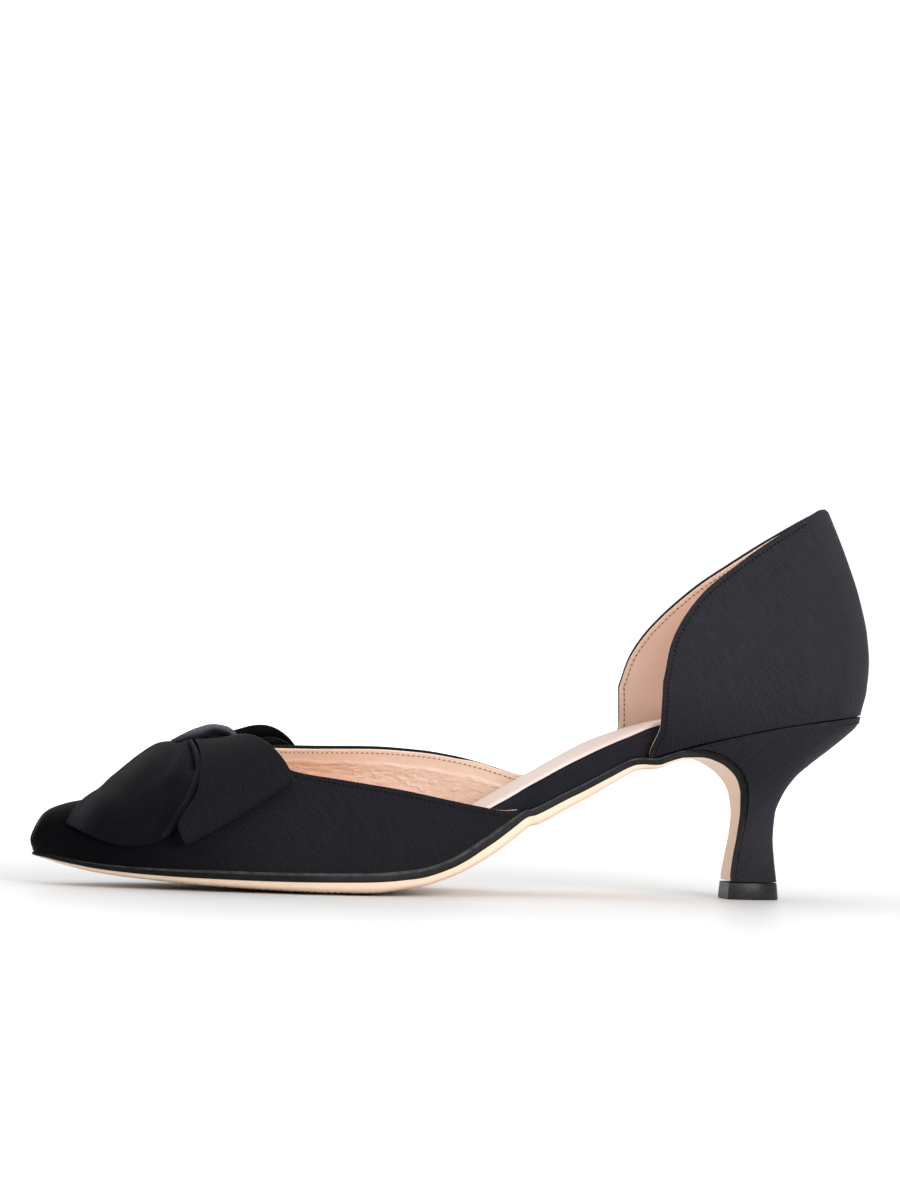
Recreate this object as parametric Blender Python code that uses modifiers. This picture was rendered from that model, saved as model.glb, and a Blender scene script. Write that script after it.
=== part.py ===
import math
from collections import namedtuple

import bmesh
import bpy
import numpy as np

# Every size is in millimetres and MM turns it into metres. X runs from the toe (-) to the heel (+),
# -Y is the inner side of this right shoe, and the floor is Z = 0.
MM = 0.001
TOE_X = -126.1
HEEL_X = 124.8
GAP = 0.3
OVERHANG = 0.8  # how far the sole edge stands out past the upper, fading to none at the toe
OVERHANG_FADE = 30.0
VAMP_WALL = 1.7
COUNTER_WALL = 1.9
RIBBON = 1.1

SOLE_STEP = 0.5  # how far the bottom steps in under the band
SOLE_SAG = 0.6  # share of the crown that the top surface follows
SOLE_ROUND = 4.0  # roundness of the crowned bottom
BREAST_START = 58.0  # the sole leaves the last here and turns down the heel
BREAST_BLEND = 1 / 6  # share of the breast over which the waist's shape fades
WAIST_START = 4.0  # sections lie this close together along the waist, where the sole's edge waves
WAIST_STEP = 3.0
SEAT_FLAT = 66.0  # the sole's top is flat from here back
SEAT_FADE = 8.0

DOME_ROUND = 2.2
TOE_BULGE = 1.5
BULGE_RISE = 5.0  # the bulge is full where the vamp stands this high
THROAT_X = -64.0
INNER_WING_END = 16.0
OUTER_WING_END = 34.5
INNER_FRONT = 58.0
OUTER_FRONT = 55.2
COUNTER_TOE = 2.4  # the foot of the counter's front edge runs forward by this much
COUNTER_TOE_TOP = 52.0
COUNTER_TOE_RISE = 9.0
FLARE_END = 92.0  # the counter's sides flare out in front of this
FLARE_RUN = 36.0

INSOLE_EXPOSED = 1.2  # inset from the sole edge where no upper covers it
INSOLE_COVERED = 3.0
INSOLE_CLEAR = 3.0  # the bare stretch starts this far behind the wing
INSOLE_STEP = 6.0
SOCK = 0.9
SOCK_CROWN = 0.4

HEEL_BASE = 5.4
LIFT_TOP = 5.1
HEEL_SHELF = 67.0  # the heel's front lip under the seat
HEEL_FRONT = 0.9  # width of a heel section's flat front, as a share of its widest
HEEL_WIDEST = 0.4  # where along the section it is widest
HEEL_ROUND = 2.3

# The bottom of the last: feather line height and half widths, with the depth of the sole's edge band
# and of its crown.
Last = namedtuple("Last", "x feather inner outer edge crown")
LAST = [
    Last(TOE_X, 10.4, 0.0, 0.0, 1.4, 0.0),
    Last(-122.8, 9.7, 6.4, 6.4, 1.5, 0.5),
    Last(-117.0, 8.6, 11.2, 11.0, 1.6, 0.9),
    Last(-107.0, 7.2, 17.3, 16.7, 1.7, 1.4),
    Last(-95.0, 6.4, 23.2, 22.4, 1.8, 1.8),
    Last(-80.0, 6.0, 29.4, 28.5, 1.9, 2.5),
    Last(-62.0, 5.9, 34.6, 34.2, 2.0, 3.2),
    Last(-44.0, 6.1, 37.3, 37.6, 2.1, 3.9),
    Last(-30.0, 6.4, 37.0, 38.3, 2.1, 4.2),
    Last(-17.0, 7.6, 34.3, 37.4, 2.1, 3.6),
    Last(-6.0, 10.8, 30.4, 35.0, 2.0, 3.4),
    Last(6.0, 17.3, 25.6, 31.6, 2.0, 4.0),
    Last(18.0, 24.8, 21.8, 28.0, 2.0, 3.9),
    Last(32.0, 32.7, 19.4, 24.8, 1.9, 3.4),
    Last(46.0, 39.5, 19.2, 23.0, 1.9, 2.7),
    Last(58.0, 44.0, 20.8, 22.8, 1.9, 1.5),
    Last(70.0, 47.4, 23.2, 23.7, 1.9, 0.0),
    Last(84.0, 50.6, 25.0, 25.0, 1.9, 0.0),
    Last(98.0, 53.3, 24.8, 24.8, 1.9, 0.0),
    Last(112.0, 55.3, 20.6, 20.6, 1.9, 0.0),
    Last(120.0, 56.2, 13.6, 13.6, 1.9, 0.0),
    Last(123.6, 56.6, 7.2, 7.2, 1.9, 0.0),
    Last(HEEL_X, 56.7, 0.0, 0.0, 1.9, 0.0),
]

# How far the sole's edge rises over the feather line or sags under it: up at the end of the inner wing,
# down along the bare waist, and down again under the front of the counter.
SoleLine = namedtuple("SoleLine", "x rise")
SOLE_LINE = [
    SoleLine(-20.0, 0.0),
    SoleLine(-6.0, -0.3),
    SoleLine(6.0, 0.0),
    SoleLine(13.0, 0.6),
    SoleLine(17.4, 1.1),
    SoleLine(20.6, 0.1),
    SoleLine(26.0, -0.4),
    SoleLine(35.0, -0.6),
    SoleLine(43.0, -0.15),
    SoleLine(50.0, 0.6),
    SoleLine(53.0, 0.0),
    SoleLine(55.6, -1.0),
    SoleLine(58.4, -1.7),
    SoleLine(62.2, -1.4),
    SoleLine(66.0, -1.15),
    SoleLine(71.0, -0.7),
    SoleLine(78.0, -0.4),
    SoleLine(100.0, 0.0),
]

# The sole's inner face where it leaves the last and turns down the front of the heel.
Breast = namedtuple("Breast", "x z half edge crown")
BREAST = [
    Breast(58.0, 42.1, 21.8, 1.9, 1.5),
    Breast(62.0, 43.6, 21.5, 1.9, 1.2),
    Breast(66.0, 44.7, 21.0, 2.0, 0.9),
    Breast(72.0, 44.9, 19.6, 2.1, 0.6),
    Breast(78.0, 43.5, 17.2, 2.2, 0.3),
    Breast(83.2, 40.6, 14.2, 2.3, 0.2),
    Breast(86.7, 36.6, 11.2, 2.3, 0.1),
    Breast(88.3, 32.0, 8.6, 2.2, 0.1),
    Breast(88.6, 26.5, 6.8, 2.0, 0.1),
    Breast(87.9, 20.0, 5.9, 1.8, 0.1),
    Breast(86.4, 12.0, 6.1, 1.6, 0.1),
    Breast(85.3, 5.4, 6.9, 1.4, 0.1),
]
# Where the breast starts, its two edges stand off the middle by this much to meet the waist's edges.
BreastShift = namedtuple("BreastShift", "inner outer")
BREAST_SHIFT = BreastShift(0.6, 0.4)

# The heel block, from its base up: share of the breast's length, then the back and the half width.
Heel = namedtuple("Heel", "share back_x back_z half")
HEEL = [
    Heel(0.00, 99.8, 5.4, 7.2),
    Heel(0.11, 98.9, 12.0, 6.5),
    Heel(0.24, 98.3, 19.0, 6.2),
    Heel(0.35, 98.7, 26.0, 7.0),
    Heel(0.44, 100.6, 31.5, 8.9),
    Heel(0.53, 104.1, 37.0, 11.7),
    Heel(0.62, 108.8, 41.4, 14.9),
    Heel(0.72, 114.4, 45.9, 18.4),
    Heel(0.82, 119.3, 50.0, 21.4),
    Heel(0.92, 122.6, 53.2, 23.4),
    Heel(1.00, 123.6, 54.8, 24.2),
]

TopLift = namedtuple("TopLift", "z front back half")
TOP_LIFT = [
    TopLift(0.0, 83.5, 100.5, 7.3),
    TopLift(LIFT_TOP, 83.9, 99.9, 7.1),
]

# The ridge of the vamp, carried on over the throat opening to shape the side walls.
Ridge = namedtuple("Ridge", "x z aside")
RIDGE = [
    Ridge(TOE_X, 10.6, 0.0),
    Ridge(-122.8, 21.2, 0.0),
    Ridge(-117.0, 24.0, 0.0),
    Ridge(-107.0, 26.2, -0.4),
    Ridge(-95.0, 29.4, -1.2),
    Ridge(-80.0, 35.2, -2.0),
    Ridge(-64.0, 42.6, -2.6),
    Ridge(-44.0, 51.5, -3.2),
    Ridge(-22.0, 59.0, -3.8),
    Ridge(0.0, 66.0, -4.0),
    Ridge(20.0, 72.0, -4.0),
    Ridge(40.0, 77.0, -4.0),
]

# The cut edge of the vamp behind the throat.
VampTop = namedtuple("VampTop", "x inner outer")
VAMP_TOP = [
    VampTop(-64.0, 42.6, 42.6),
    VampTop(-58.0, 38.2, 42.7),
    VampTop(-52.0, 35.6, 42.5),
    VampTop(-40.0, 33.8, 42.4),
    VampTop(-22.0, 31.2, 42.6),
    VampTop(-6.0, 28.2, 41.8),
    VampTop(4.0, 26.4, 40.4),
    VampTop(12.0, 25.3, 38.6),
    VampTop(18.3, 26.0, 36.8),
    VampTop(26.0, 29.0, 34.8),
    VampTop(34.5, 34.0, 35.6),
]

# The counter: back profile and fullness by height, then its cut edge.
CounterBack = namedtuple("CounterBack", "z x full flare")
COUNTER_BACK = [
    CounterBack(43.0, 123.4, 0.99, 0.0),
    CounterBack(50.0, 123.6, 1.00, 2.6),
    CounterBack(56.0, 124.1, 1.00, 3.9),
    CounterBack(64.0, 125.8, 1.03, 4.3),
    CounterBack(72.0, 126.3, 1.04, 4.2),
    CounterBack(80.0, 125.6, 1.01, 3.8),
    CounterBack(92.0, 122.8, 0.93, 3.0),
    CounterBack(104.0, 118.5, 0.84, 2.0),
    CounterBack(118.6, 112.2, 0.74, 0.0),
]
CounterTop = namedtuple("CounterTop", "x inner outer")
COUNTER_TOP = [
    CounterTop(55.2, 62.0, 63.0),
    CounterTop(58.0, 65.0, 71.4),
    CounterTop(59.8, 75.0, 75.0),
    CounterTop(62.8, 82.2, 79.6),
    CounterTop(66.8, 88.2, 84.3),
    CounterTop(71.0, 93.0, 88.6),
    CounterTop(78.0, 98.7, 94.8),
    CounterTop(86.0, 104.7, 100.6),
    CounterTop(94.0, 110.1, 105.9),
    CounterTop(102.0, 115.1, 111.1),
    CounterTop(108.0, 117.9, 115.5),
    CounterTop(110.0, 118.4, 117.4),
    CounterTop(112.0, 117.9, 117.7),
    CounterTop(114.0, 116.9, 116.9),
    CounterTop(130.0, 116.9, 116.9),
]

# Height of the insole's upper edges over the feather line; the arch is built up on the inner side.
Insole = namedtuple("Insole", "x inner outer")
INSOLE = [
    Insole(TOE_X, 2.2, 2.2),
    Insole(-60.0, 2.6, 2.6),
    Insole(-30.0, 3.2, 3.2),
    Insole(-17.0, 4.4, 3.6),
    Insole(-6.0, 6.4, 4.2),
    Insole(6.0, 8.2, 4.7),
    Insole(16.0, 7.4, 4.8),
    Insole(28.0, 7.4, 5.2),
    Insole(40.0, 7.4, 6.1),
    Insole(50.0, 7.5, 6.2),
    Insole(57.0, 7.9, 6.0),
    Insole(64.0, 7.3, 5.6),
    Insole(75.0, 5.8, 4.8),
    Insole(98.0, 4.1, 3.7),
    Insole(109.0, 3.5, 3.5),
    Insole(117.0, 3.4, 3.4),
    Insole(HEEL_X, 3.2, 3.2),
]

# Bow pieces lie on the vamp: place along the shoe and across it (0 ridge, 1 feather line) of the
# toe-side and heel-side edges, then the height of each edge over the vamp.
Loop = namedtuple("Loop", "run toe_x toe_across heel_x heel_across")
INNER_LOOP = [
    Loop(0.0, -76.2, 0.13, -67.6, 0.13),
    Loop(0.3, -75.8, 0.33, -62.6, 0.27),
    Loop(0.6, -78.0, 0.57, -57.0, 0.43),
    Loop(0.85, -84.2, 0.755, -54.2, 0.535),
    Loop(1.0, -83.2, 0.84, -53.0, 0.59),
]
OUTER_LOOP = [
    Loop(0.0, -76.2, 0.13, -65.8, 0.13),
    Loop(0.3, -75.8, 0.33, -54.4, 0.28),
    Loop(0.6, -77.4, 0.57, -45.6, 0.45),
    Loop(1.0, -82.0, 0.83, -39.2, 0.63),
]
LOOP_LIE = 1.1  # height of a loop's under layer
OUTER_LOOP_FULL = 0.68  # the outer loop stands less full than the inner, except at its root
OUTER_ROOT_FULL = 0.30
LoopRise = namedtuple("LoopRise", "run toe heel")
LOOP_RISE = [
    LoopRise(0.00, 8.4, 4.8),
    LoopRise(0.10, 8.5, 5.6),
    LoopRise(0.22, 8.6, 6.3),
    LoopRise(0.38, 8.4, 6.8),
    LoopRise(0.55, 8.0, 6.6),
    LoopRise(0.72, 7.2, 6.0),
    LoopRise(0.86, 6.0, 5.2),
    LoopRise(0.95, 4.9, 4.4),
    LoopRise(0.99, 4.0, 3.7),
    LoopRise(1.00, 3.2, 3.0),
    LoopRise(0.98, 2.4, 2.3),
    LoopRise(0.92, 1.8, 1.7),
    LoopRise(0.80, 1.3, 1.3),
    LoopRise(0.65, 1.1, 1.1),
    LoopRise(0.50, 1.1, 1.1),
    LoopRise(0.35, 1.1, 1.1),
    LoopRise(0.18, 1.1, 1.1),
    LoopRise(0.00, 1.1, 1.1),
]
Tail = namedtuple("Tail", "run toe_x toe_across heel_x heel_across toe_rise heel_rise")
INNER_TAIL = [
    Tail(0.00, -80.8, 0.02, -77.8, 0.16, 8.2, 8.6),
    Tail(0.15, -86.0, -0.03, -77.2, 0.26, 9.8, 7.6),
    Tail(0.35, -92.5, -0.07, -76.6, 0.40, 8.8, 6.4),
    Tail(0.60, -101.5, -0.05, -79.8, 0.56, 5.0, 4.6),
    Tail(0.80, -108.2, 0.11, -84.4, 0.675, 2.0, 2.9),
    Tail(0.92, -113.4, 0.38, -87.2, 0.735, 1.6, 1.7),
    Tail(1.00, -116.2, 0.60, -88.8, 0.77, 1.1, 1.1),
]
OUTER_TAIL = [
    Tail(0.00, -80.8, 0.10, -77.8, 0.17, 7.8, 8.2),
    Tail(0.15, -85.4, 0.14, -77.8, 0.26, 6.8, 6.6),
    Tail(0.35, -91.5, 0.18, -78.0, 0.40, 6.2, 6.2),
    Tail(0.60, -100.0, 0.24, -80.8, 0.57, 3.8, 4.4),
    Tail(0.80, -107.0, 0.34, -84.8, 0.69, 2.1, 2.8),
    Tail(0.92, -111.0, 0.46, -87.6, 0.75, 1.5, 1.6),
    Tail(1.00, -113.6, 0.58, -89.4, 0.79, 1.1, 1.1),
]
TAIL_SWEEP = 0.14  # how far the tail's end bows down the side

# The knot's band along the middle of the shoe, over the roots of the tails and loops, thin where it
# runs out on the tail. A core under the band stands on the vamp.
Knot = namedtuple("Knot", "x z half wall")
KNOT = [
    Knot(-85.6, 43.5, 4.4, 0.8),
    Knot(-82.5, 44.7, 5.1, 1.4),
    Knot(-78.0, 46.4, 5.6, 2.2),
    Knot(-73.6, 47.4, 5.8, 2.6),
    Knot(-70.0, 46.7, 5.8, 2.6),
    Knot(-67.6, 44.9, 5.6, 2.4),
    Knot(-66.2, 43.0, 5.2, 2.0),
]
KNOT_CURL = 0.2  # how far the band's edges turn down, as a share of its wall
CORE_FRONT = -76.6
CORE_BACK = -67.2
CORE_HALF = 4.3
CORE_CLEAR = 0.4

CLOTH = ((0.016, 0.016, 0.020), 0.62)
SOCK_LEATHER = ((0.78, 0.62, 0.52), 0.55)
SOLE_LEATHER = ((0.70, 0.50, 0.36), 0.50)
LIFT_RUBBER = ((0.020, 0.020, 0.021), 0.45)
SHARP = math.radians(40)  # edges sharper than this stay crisp


def column(rows, name):
    return np.array([getattr(row, name) for row in rows], float)


# A smooth line through table values that never overshoots them.
def smooth(at, knots, values):
    at = np.asarray(at, float)
    step = np.diff(knots)
    rate = np.diff(values) / step
    slope = np.zeros(len(knots))
    slope[0] = rate[0]
    slope[-1] = rate[-1]
    for i in range(1, len(knots) - 1):
        if rate[i - 1] * rate[i] > 0:
            near = 2 * step[i] + step[i - 1]
            far = step[i] + 2 * step[i - 1]
            slope[i] = (near + far) / (near / rate[i - 1] + far / rate[i])
    i = np.clip(np.searchsorted(knots, at) - 1, 0, len(knots) - 2)
    t = (at - knots[i]) / step[i]
    rest = 1 - t
    start = values[i] * (1 + 2 * t) * rest**2 + slope[i] * step[i] * t * rest**2
    end = values[i + 1] * (3 - 2 * t) * t**2 - slope[i + 1] * step[i] * t**2 * rest
    return start + end


def table(rows, name, at, by="x"):
    knots = column(rows, by)
    return smooth(np.clip(at, knots[0], knots[-1]), knots, column(rows, name))


def ease(t):
    t = np.clip(t, 0.0, 1.0)
    return t * t * (3 - 2 * t)


# The angle that runs 0 to pi from toe to heel, so that both ends come out round.
def turn_at(x):
    return np.arccos(np.clip(1 - 2 * (np.asarray(x, float) - TOE_X) / (HEEL_X - TOE_X), -1, 1))


def x_at(turn):
    return TOE_X + (HEEL_X - TOE_X) * (1 - np.cos(turn)) / 2


def last(name, x):
    return smooth(turn_at(x), turn_at(column(LAST, "x")), column(LAST, name))


def half_width(x, side):
    return last("inner" if side < 0 else "outer", x)


def overhang(turn):
    return OVERHANG * ease((x_at(turn) - TOE_X) / OVERHANG_FADE)


# The line along which the sole's edge meets what stands on it.
def sole_line(x):
    return last("feather", x) + table(SOLE_LINE, "rise", x)


# A point of the sole outline moved in by a distance, with the outward direction there.
def outline(turn, side, inset=0.0):
    before = max(turn - 0.004, 0.0)
    after = min(turn + 0.004, math.pi)
    dx = x_at(after) - x_at(before)
    dy = side * (half_width(x_at(after), side) - half_width(x_at(before), side))
    out = side * np.array([-dy, dx]) / math.hypot(dx, dy)
    if before == 0.0 or after == math.pi:
        out = np.array([math.copysign(1.0, turn - 1), 0.0])
    x = x_at(turn)
    return np.array([x, side * half_width(x, side)]) - inset * out, out


def ridge(name, x):
    return smooth(turn_at(x), turn_at(column(RIDGE, "x")), column(RIDGE, name))


# The outside of the vamp: across is -1 at the inner feather line, 0 on the ridge, 1 at the outer.
def dome(x, across):
    side = -1 if across < 0 else 1
    turn = float(turn_at(x))
    foot, out = outline(turn, side, overhang(turn))
    other, _ = outline(turn, -side, overhang(turn))
    angle = (1 - min(abs(across), 1.0)) * math.pi / 2
    base = sole_line(x) + GAP / 2
    rise = ridge("z", x) - base
    level = math.sin(angle) ** (2 / DOME_ROUND)
    spread = max(math.cos(angle), 0.0) ** (2 / DOME_ROUND)
    bulge = TOE_BULGE * min(1.0, rise / BULGE_RISE) * math.sin(2 * angle) * math.cos(angle)
    middle = (foot[0] + other[0]) / 2
    aside = ridge("aside", x)
    px = middle + (foot[0] - middle) * spread + out[0] * bulge
    py = aside + (foot[1] - aside) * spread + out[1] * bulge
    return np.array([px, py, base + rise * level])


# A point lifted off the vamp along its outward direction.
def over_vamp(x, across, rise):
    along = dome(x + 0.8, across) - dome(x - 0.8, across)
    over = dome(x, across + 0.02) - dome(x, across - 0.02)
    out = np.cross(along, over)
    return dome(x, across) + rise * out / np.linalg.norm(out)


def sole_top(x, y):
    inner = half_width(x, -1)
    outer = half_width(x, 1)
    q = (y - (outer - inner) / 2) / max((outer + inner) / 2, 0.1)
    sag = SOLE_SAG * last("crown", x) * ease((SEAT_FLAT - x) / SEAT_FADE)
    return sole_line(x) - sag * max(0.0, 1 - q * q)


# Turns of the sections from the toe to a place in the waist.
def section_turns(end):
    front = np.linspace(0, float(turn_at(WAIST_START)), 19)
    waist = np.arange(WAIST_START + WAIST_STEP, end + WAIST_STEP / 2, WAIST_STEP)
    return np.concatenate([front, turn_at(waist)])


def add_part(name, points, faces, look, collection, wall=0.0, offset=-1.0):
    mesh = bpy.data.meshes.new(name)
    form = bmesh.new()
    verts = [form.verts.new(tuple(float(c) * MM for c in p)) for p in points]
    for face in faces:
        form.faces.new([verts[i] for i in face])
    bmesh.ops.remove_doubles(form, verts=form.verts, dist=0.00001)
    bmesh.ops.dissolve_degenerate(form, edges=form.edges, dist=0.00001)
    if not wall:
        bmesh.ops.recalc_face_normals(form, faces=form.faces)
        if form.calc_volume(signed=True) < 0:
            bmesh.ops.reverse_faces(form, faces=form.faces)
    form.to_mesh(mesh)
    form.free()
    mesh.shade_smooth()
    mesh.set_sharp_from_angle(angle=SHARP)
    part = bpy.data.objects.new(name, mesh)
    collection.objects.link(part)
    colour, roughness = look
    material = bpy.data.materials.new(name)
    material.use_nodes = True
    shader = material.node_tree.nodes["Principled BSDF"]
    shader.inputs["Base Color"].default_value = (*colour, 1.0)
    shader.inputs["Roughness"].default_value = roughness
    mesh.materials.append(material)
    if wall:
        thicken = part.modifiers.new("wall", "SOLIDIFY")
        thicken.thickness = wall * MM
        thicken.offset = offset
        thicken.use_even_offset = True
        thicken.use_quality_normals = True
    return part


def grid_faces(rows, columns, start=0, flip=False):
    faces = []
    for i in range(rows - 1):
        for j in range(columns - 1):
            a = start + i * columns + j
            face = (a, a + 1, a + columns + 1, a + columns)
            faces.append(face[::-1] if flip else face)
    return faces


# Closed rings of equal count joined into a skin.
def loft_faces(rings, count):
    faces = []
    for i in range(rings - 1):
        for j in range(count):
            k = (j + 1) % count
            faces.append((i * count + j, i * count + k, (i + 1) * count + k, (i + 1) * count + j))
    return faces


def make_vamp(collection):
    points = []
    faces = []
    rows = 11
    for side, end in ((-1, INNER_WING_END), (1, OUTER_WING_END)):
        start = len(points)
        stations = [float(x_at(t)) for t in np.linspace(0, float(turn_at(THROAT_X)), 19)]
        stations += [THROAT_X + (end - THROAT_X) * u**1.5 for u in np.linspace(0, 1, 15)[1:]]
        name = "inner" if side < 0 else "outer"
        for x in stations:
            top = math.pi / 2
            if x > THROAT_X + 0.01:
                base = sole_line(x) + GAP / 2
                share = (table(VAMP_TOP, name, x) - base) / (ridge("z", x) - base)
                top = math.asin(float(np.clip(share, 0, 1)) ** (DOME_ROUND / 2))
            for v in np.linspace(0, 1, rows):
                across = side * (1 - v * top / (math.pi / 2))
                points.append(dome(x, across))
        faces += grid_faces(len(stations), rows, start, flip=side < 0)
    return add_part("vamp", points, faces, CLOTH, collection, VAMP_WALL)


def counter_front(side):
    return INNER_FRONT if side < 0 else OUTER_FRONT


def counter_point(turn, side, z):
    seat, _ = outline(turn, side, OVERHANG)
    rest = counter_front(side)
    front = rest - COUNTER_TOE * ease((COUNTER_TOE_TOP - z) / COUNTER_TOE_RISE)
    back = table(COUNTER_BACK, "x", z, "z")
    reach = (seat[0] - rest) / (HEEL_X - OVERHANG - rest)
    flare = table(COUNTER_BACK, "flare", z, "z") * ease((FLARE_END - seat[0]) / FLARE_RUN)
    y = seat[1] * table(COUNTER_BACK, "full", z, "z") + side * flare
    return np.array([front + reach * (back - front), y, z])


def make_counter(collection):
    rows = 11
    # Columns close up towards the front edge.
    shares = np.linspace(0, 1, 21) ** 1.5
    places = []
    for side, order in ((1, 1), (-1, -1)):
        first = float(turn_at(counter_front(side)))
        turns = [first + (math.pi - first) * u for u in shares[::order]]
        places += [(turn, side) for turn in turns[max(0, -order) :]]
    points = []
    for turn, side in places:
        name = "inner" if side < 0 else "outer"
        low = sole_line(x_at(turn)) + GAP / 2
        high = 90.0
        for _ in range(60):
            x = counter_point(turn, side, high)[0]
            high += 0.3 * (table(COUNTER_TOP, name, x) - high)
        for v in np.linspace(0, 1, rows):
            points.append(counter_point(turn, side, low + v * (high - low)))
    faces = grid_faces(len(places), rows)
    return add_part("counter", points, faces, CLOTH, collection, COUNTER_WALL)


def insole_inset(x, side):
    wing = INNER_WING_END if side < 0 else OUTER_WING_END
    bare = ease((x - wing - INSOLE_CLEAR) / INSOLE_STEP)
    bare *= ease((counter_front(side) - COUNTER_TOE - 1.0 - x) / INSOLE_STEP)
    return INSOLE_COVERED + (INSOLE_EXPOSED - INSOLE_COVERED) * bare


# A plate that follows the last's bottom; each height is a function of the place and of the share across.
def plate(name, inset, low, high, look, collection):
    across = np.linspace(-1, 1, 5)
    points = []
    turns = section_turns(SEAT_FLAT + WAIST_STEP)
    turns = np.concatenate([turns, np.linspace(turns[-1], math.pi, 14)[1:]])
    for turn in turns:
        x = float(x_at(turn))
        inner, _ = outline(turn, -1, insole_inset(x, -1) + inset)
        outer, _ = outline(turn, 1, insole_inset(x, 1) + inset)
        ring = [inner + (outer - inner) * (q + 1) / 2 for q in across]
        points += [(p[0], p[1], low(p[0], p[1], q)) for p, q in zip(ring, across)]
        points += [(p[0], p[1], high(p[0], p[1], q)) for p, q in zip(ring[::-1], across[::-1])]
    faces = loft_faces(len(turns), 2 * len(across))
    return add_part(name, points, faces, look, collection)


def insole_top(x, q):
    inner = table(INSOLE, "inner", x)
    outer = table(INSOLE, "outer", x)
    return last("feather", x) + inner + (outer - inner) * (q + 1) / 2


def make_insole(collection):
    def low(x, y, q):
        return sole_top(x, y) + GAP / 2

    def high(x, y, q):
        return insole_top(x, q)

    return plate("insole", 0.0, low, high, CLOTH, collection)


def make_sock(collection):
    def low(x, y, q):
        return insole_top(x, q) + GAP

    def high(x, y, q):
        return insole_top(x, q) + GAP + SOCK + SOCK_CROWN * (1 - q * q)

    return plate("sock", 0.3, low, high, SOCK_LEATHER, collection)


# The sole's inner face down the breast, at shares of its length: a row of the table and the heading.
def breast(share):
    steps = np.hypot(np.diff(column(BREAST, "x")), np.diff(column(BREAST, "z")))
    run = np.concatenate([[0], np.cumsum(steps)])
    at = share * run[-1]
    row = Breast(*(float(smooth(at, run, column(BREAST, name))) for name in Breast._fields))
    near = np.clip(np.array([at - 0.3, at + 0.3]), 0, run[-1])
    dx = float(np.diff(smooth(near, run, column(BREAST, "x")))[0])
    dz = float(np.diff(smooth(near, run, column(BREAST, "z")))[0])
    return row, np.array([dx, dz]) / math.hypot(dx, dz)


# One ring of the sole: the top, the edge band, the step and the crowned bottom.
def sole_ring(inner, outer, inner_out, outer_out, heading, edge, crown, top):
    ring = []
    down = np.array([heading[1], 0.0, -heading[0]])
    for q in np.linspace(1, -1, 7):
        p = inner + (outer - inner) * (q + 1) / 2
        ring.append(np.array([p[0], p[1], top(p, q)]))
    under_inner = ring[-1] + edge * down
    under_outer = ring[0] + edge * down
    ring.append(under_inner)
    step_inner = under_inner - SOLE_STEP * np.array([*inner_out, 0.0])
    step_outer = under_outer - SOLE_STEP * np.array([*outer_out, 0.0])
    for q in -np.cos(np.linspace(0, math.pi, 9)):
        p = step_inner + (step_outer - step_inner) * (q + 1) / 2
        depth = max(0.0, 1 - abs(q) ** SOLE_ROUND) ** (1 / SOLE_ROUND)
        ring.append(p + crown * depth * down)
    ring.append(under_outer)
    return [np.array([p[0], p[1], max(p[2], 0.0)]) for p in ring]


def make_outsole(collection):
    points = []
    rings = 0
    for turn in section_turns(BREAST_START):
        x = float(x_at(turn))
        inner, inner_out = outline(turn, -1)
        outer, outer_out = outline(turn, 1)
        ahead = x + 0.5
        behind = max(x - 0.5, TOE_X)
        slope = float(last("feather", ahead) - last("feather", behind)) / (ahead - behind)
        heading = np.array([1.0, slope]) / math.hypot(1.0, slope)

        def top(p, q):
            return sole_top(p[0], p[1]) - GAP / 2

        depths = last("edge", x), last("crown", x)
        points += sole_ring(inner, outer, inner_out, outer_out, heading, *depths, top)
        rings += 1
    for share in np.linspace(0, 1, 21)[1:]:
        row, heading = breast(share)
        blend = float(ease(1 - share / BREAST_BLEND))
        inner = np.array([row.x, -row.half + blend * BREAST_SHIFT.inner])
        outer = np.array([row.x, row.half + blend * BREAST_SHIFT.outer])

        def top(p, q):
            return row.z - blend * SOLE_SAG * row.crown * (1 - q * q)

        points += sole_ring(inner, outer, (0, -1), (0, 1), heading, row.edge, row.crown, top)
        rings += 1
    count = len(points) // rings
    faces = loft_faces(rings, count)
    last_ring = (rings - 1) * count
    faces.append(tuple(range(last_ring, last_ring + count)))
    return add_part("outsole", points, faces, SOLE_LEATHER, collection)


# Half width along a heel section, from its flat front to its round back.
def heel_side(share):
    if share < HEEL_WIDEST:
        return HEEL_FRONT + (1 - HEEL_FRONT) * math.sin(math.pi / 2 * share / HEEL_WIDEST)
    behind = (share - HEEL_WIDEST) / (1 - HEEL_WIDEST)
    return max(0.0, 1 - behind**HEEL_ROUND) ** (1 / HEEL_ROUND)


# Points of a heel section in order round it: back, outer side, flat front, inner side.
def heel_ring(place):
    shares = [(1 + math.cos(math.pi * k / 11)) / 2 for k in range(12)]
    ring = [place(1.0, 0.0)]
    ring += [place(s, heel_side(s)) for s in shares[1:]]
    ring += [place(0.0, HEEL_FRONT * w) for w in (0.5, -0.5)]
    ring += [place(s, -heel_side(s)) for s in shares[:0:-1]]
    return ring


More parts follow.
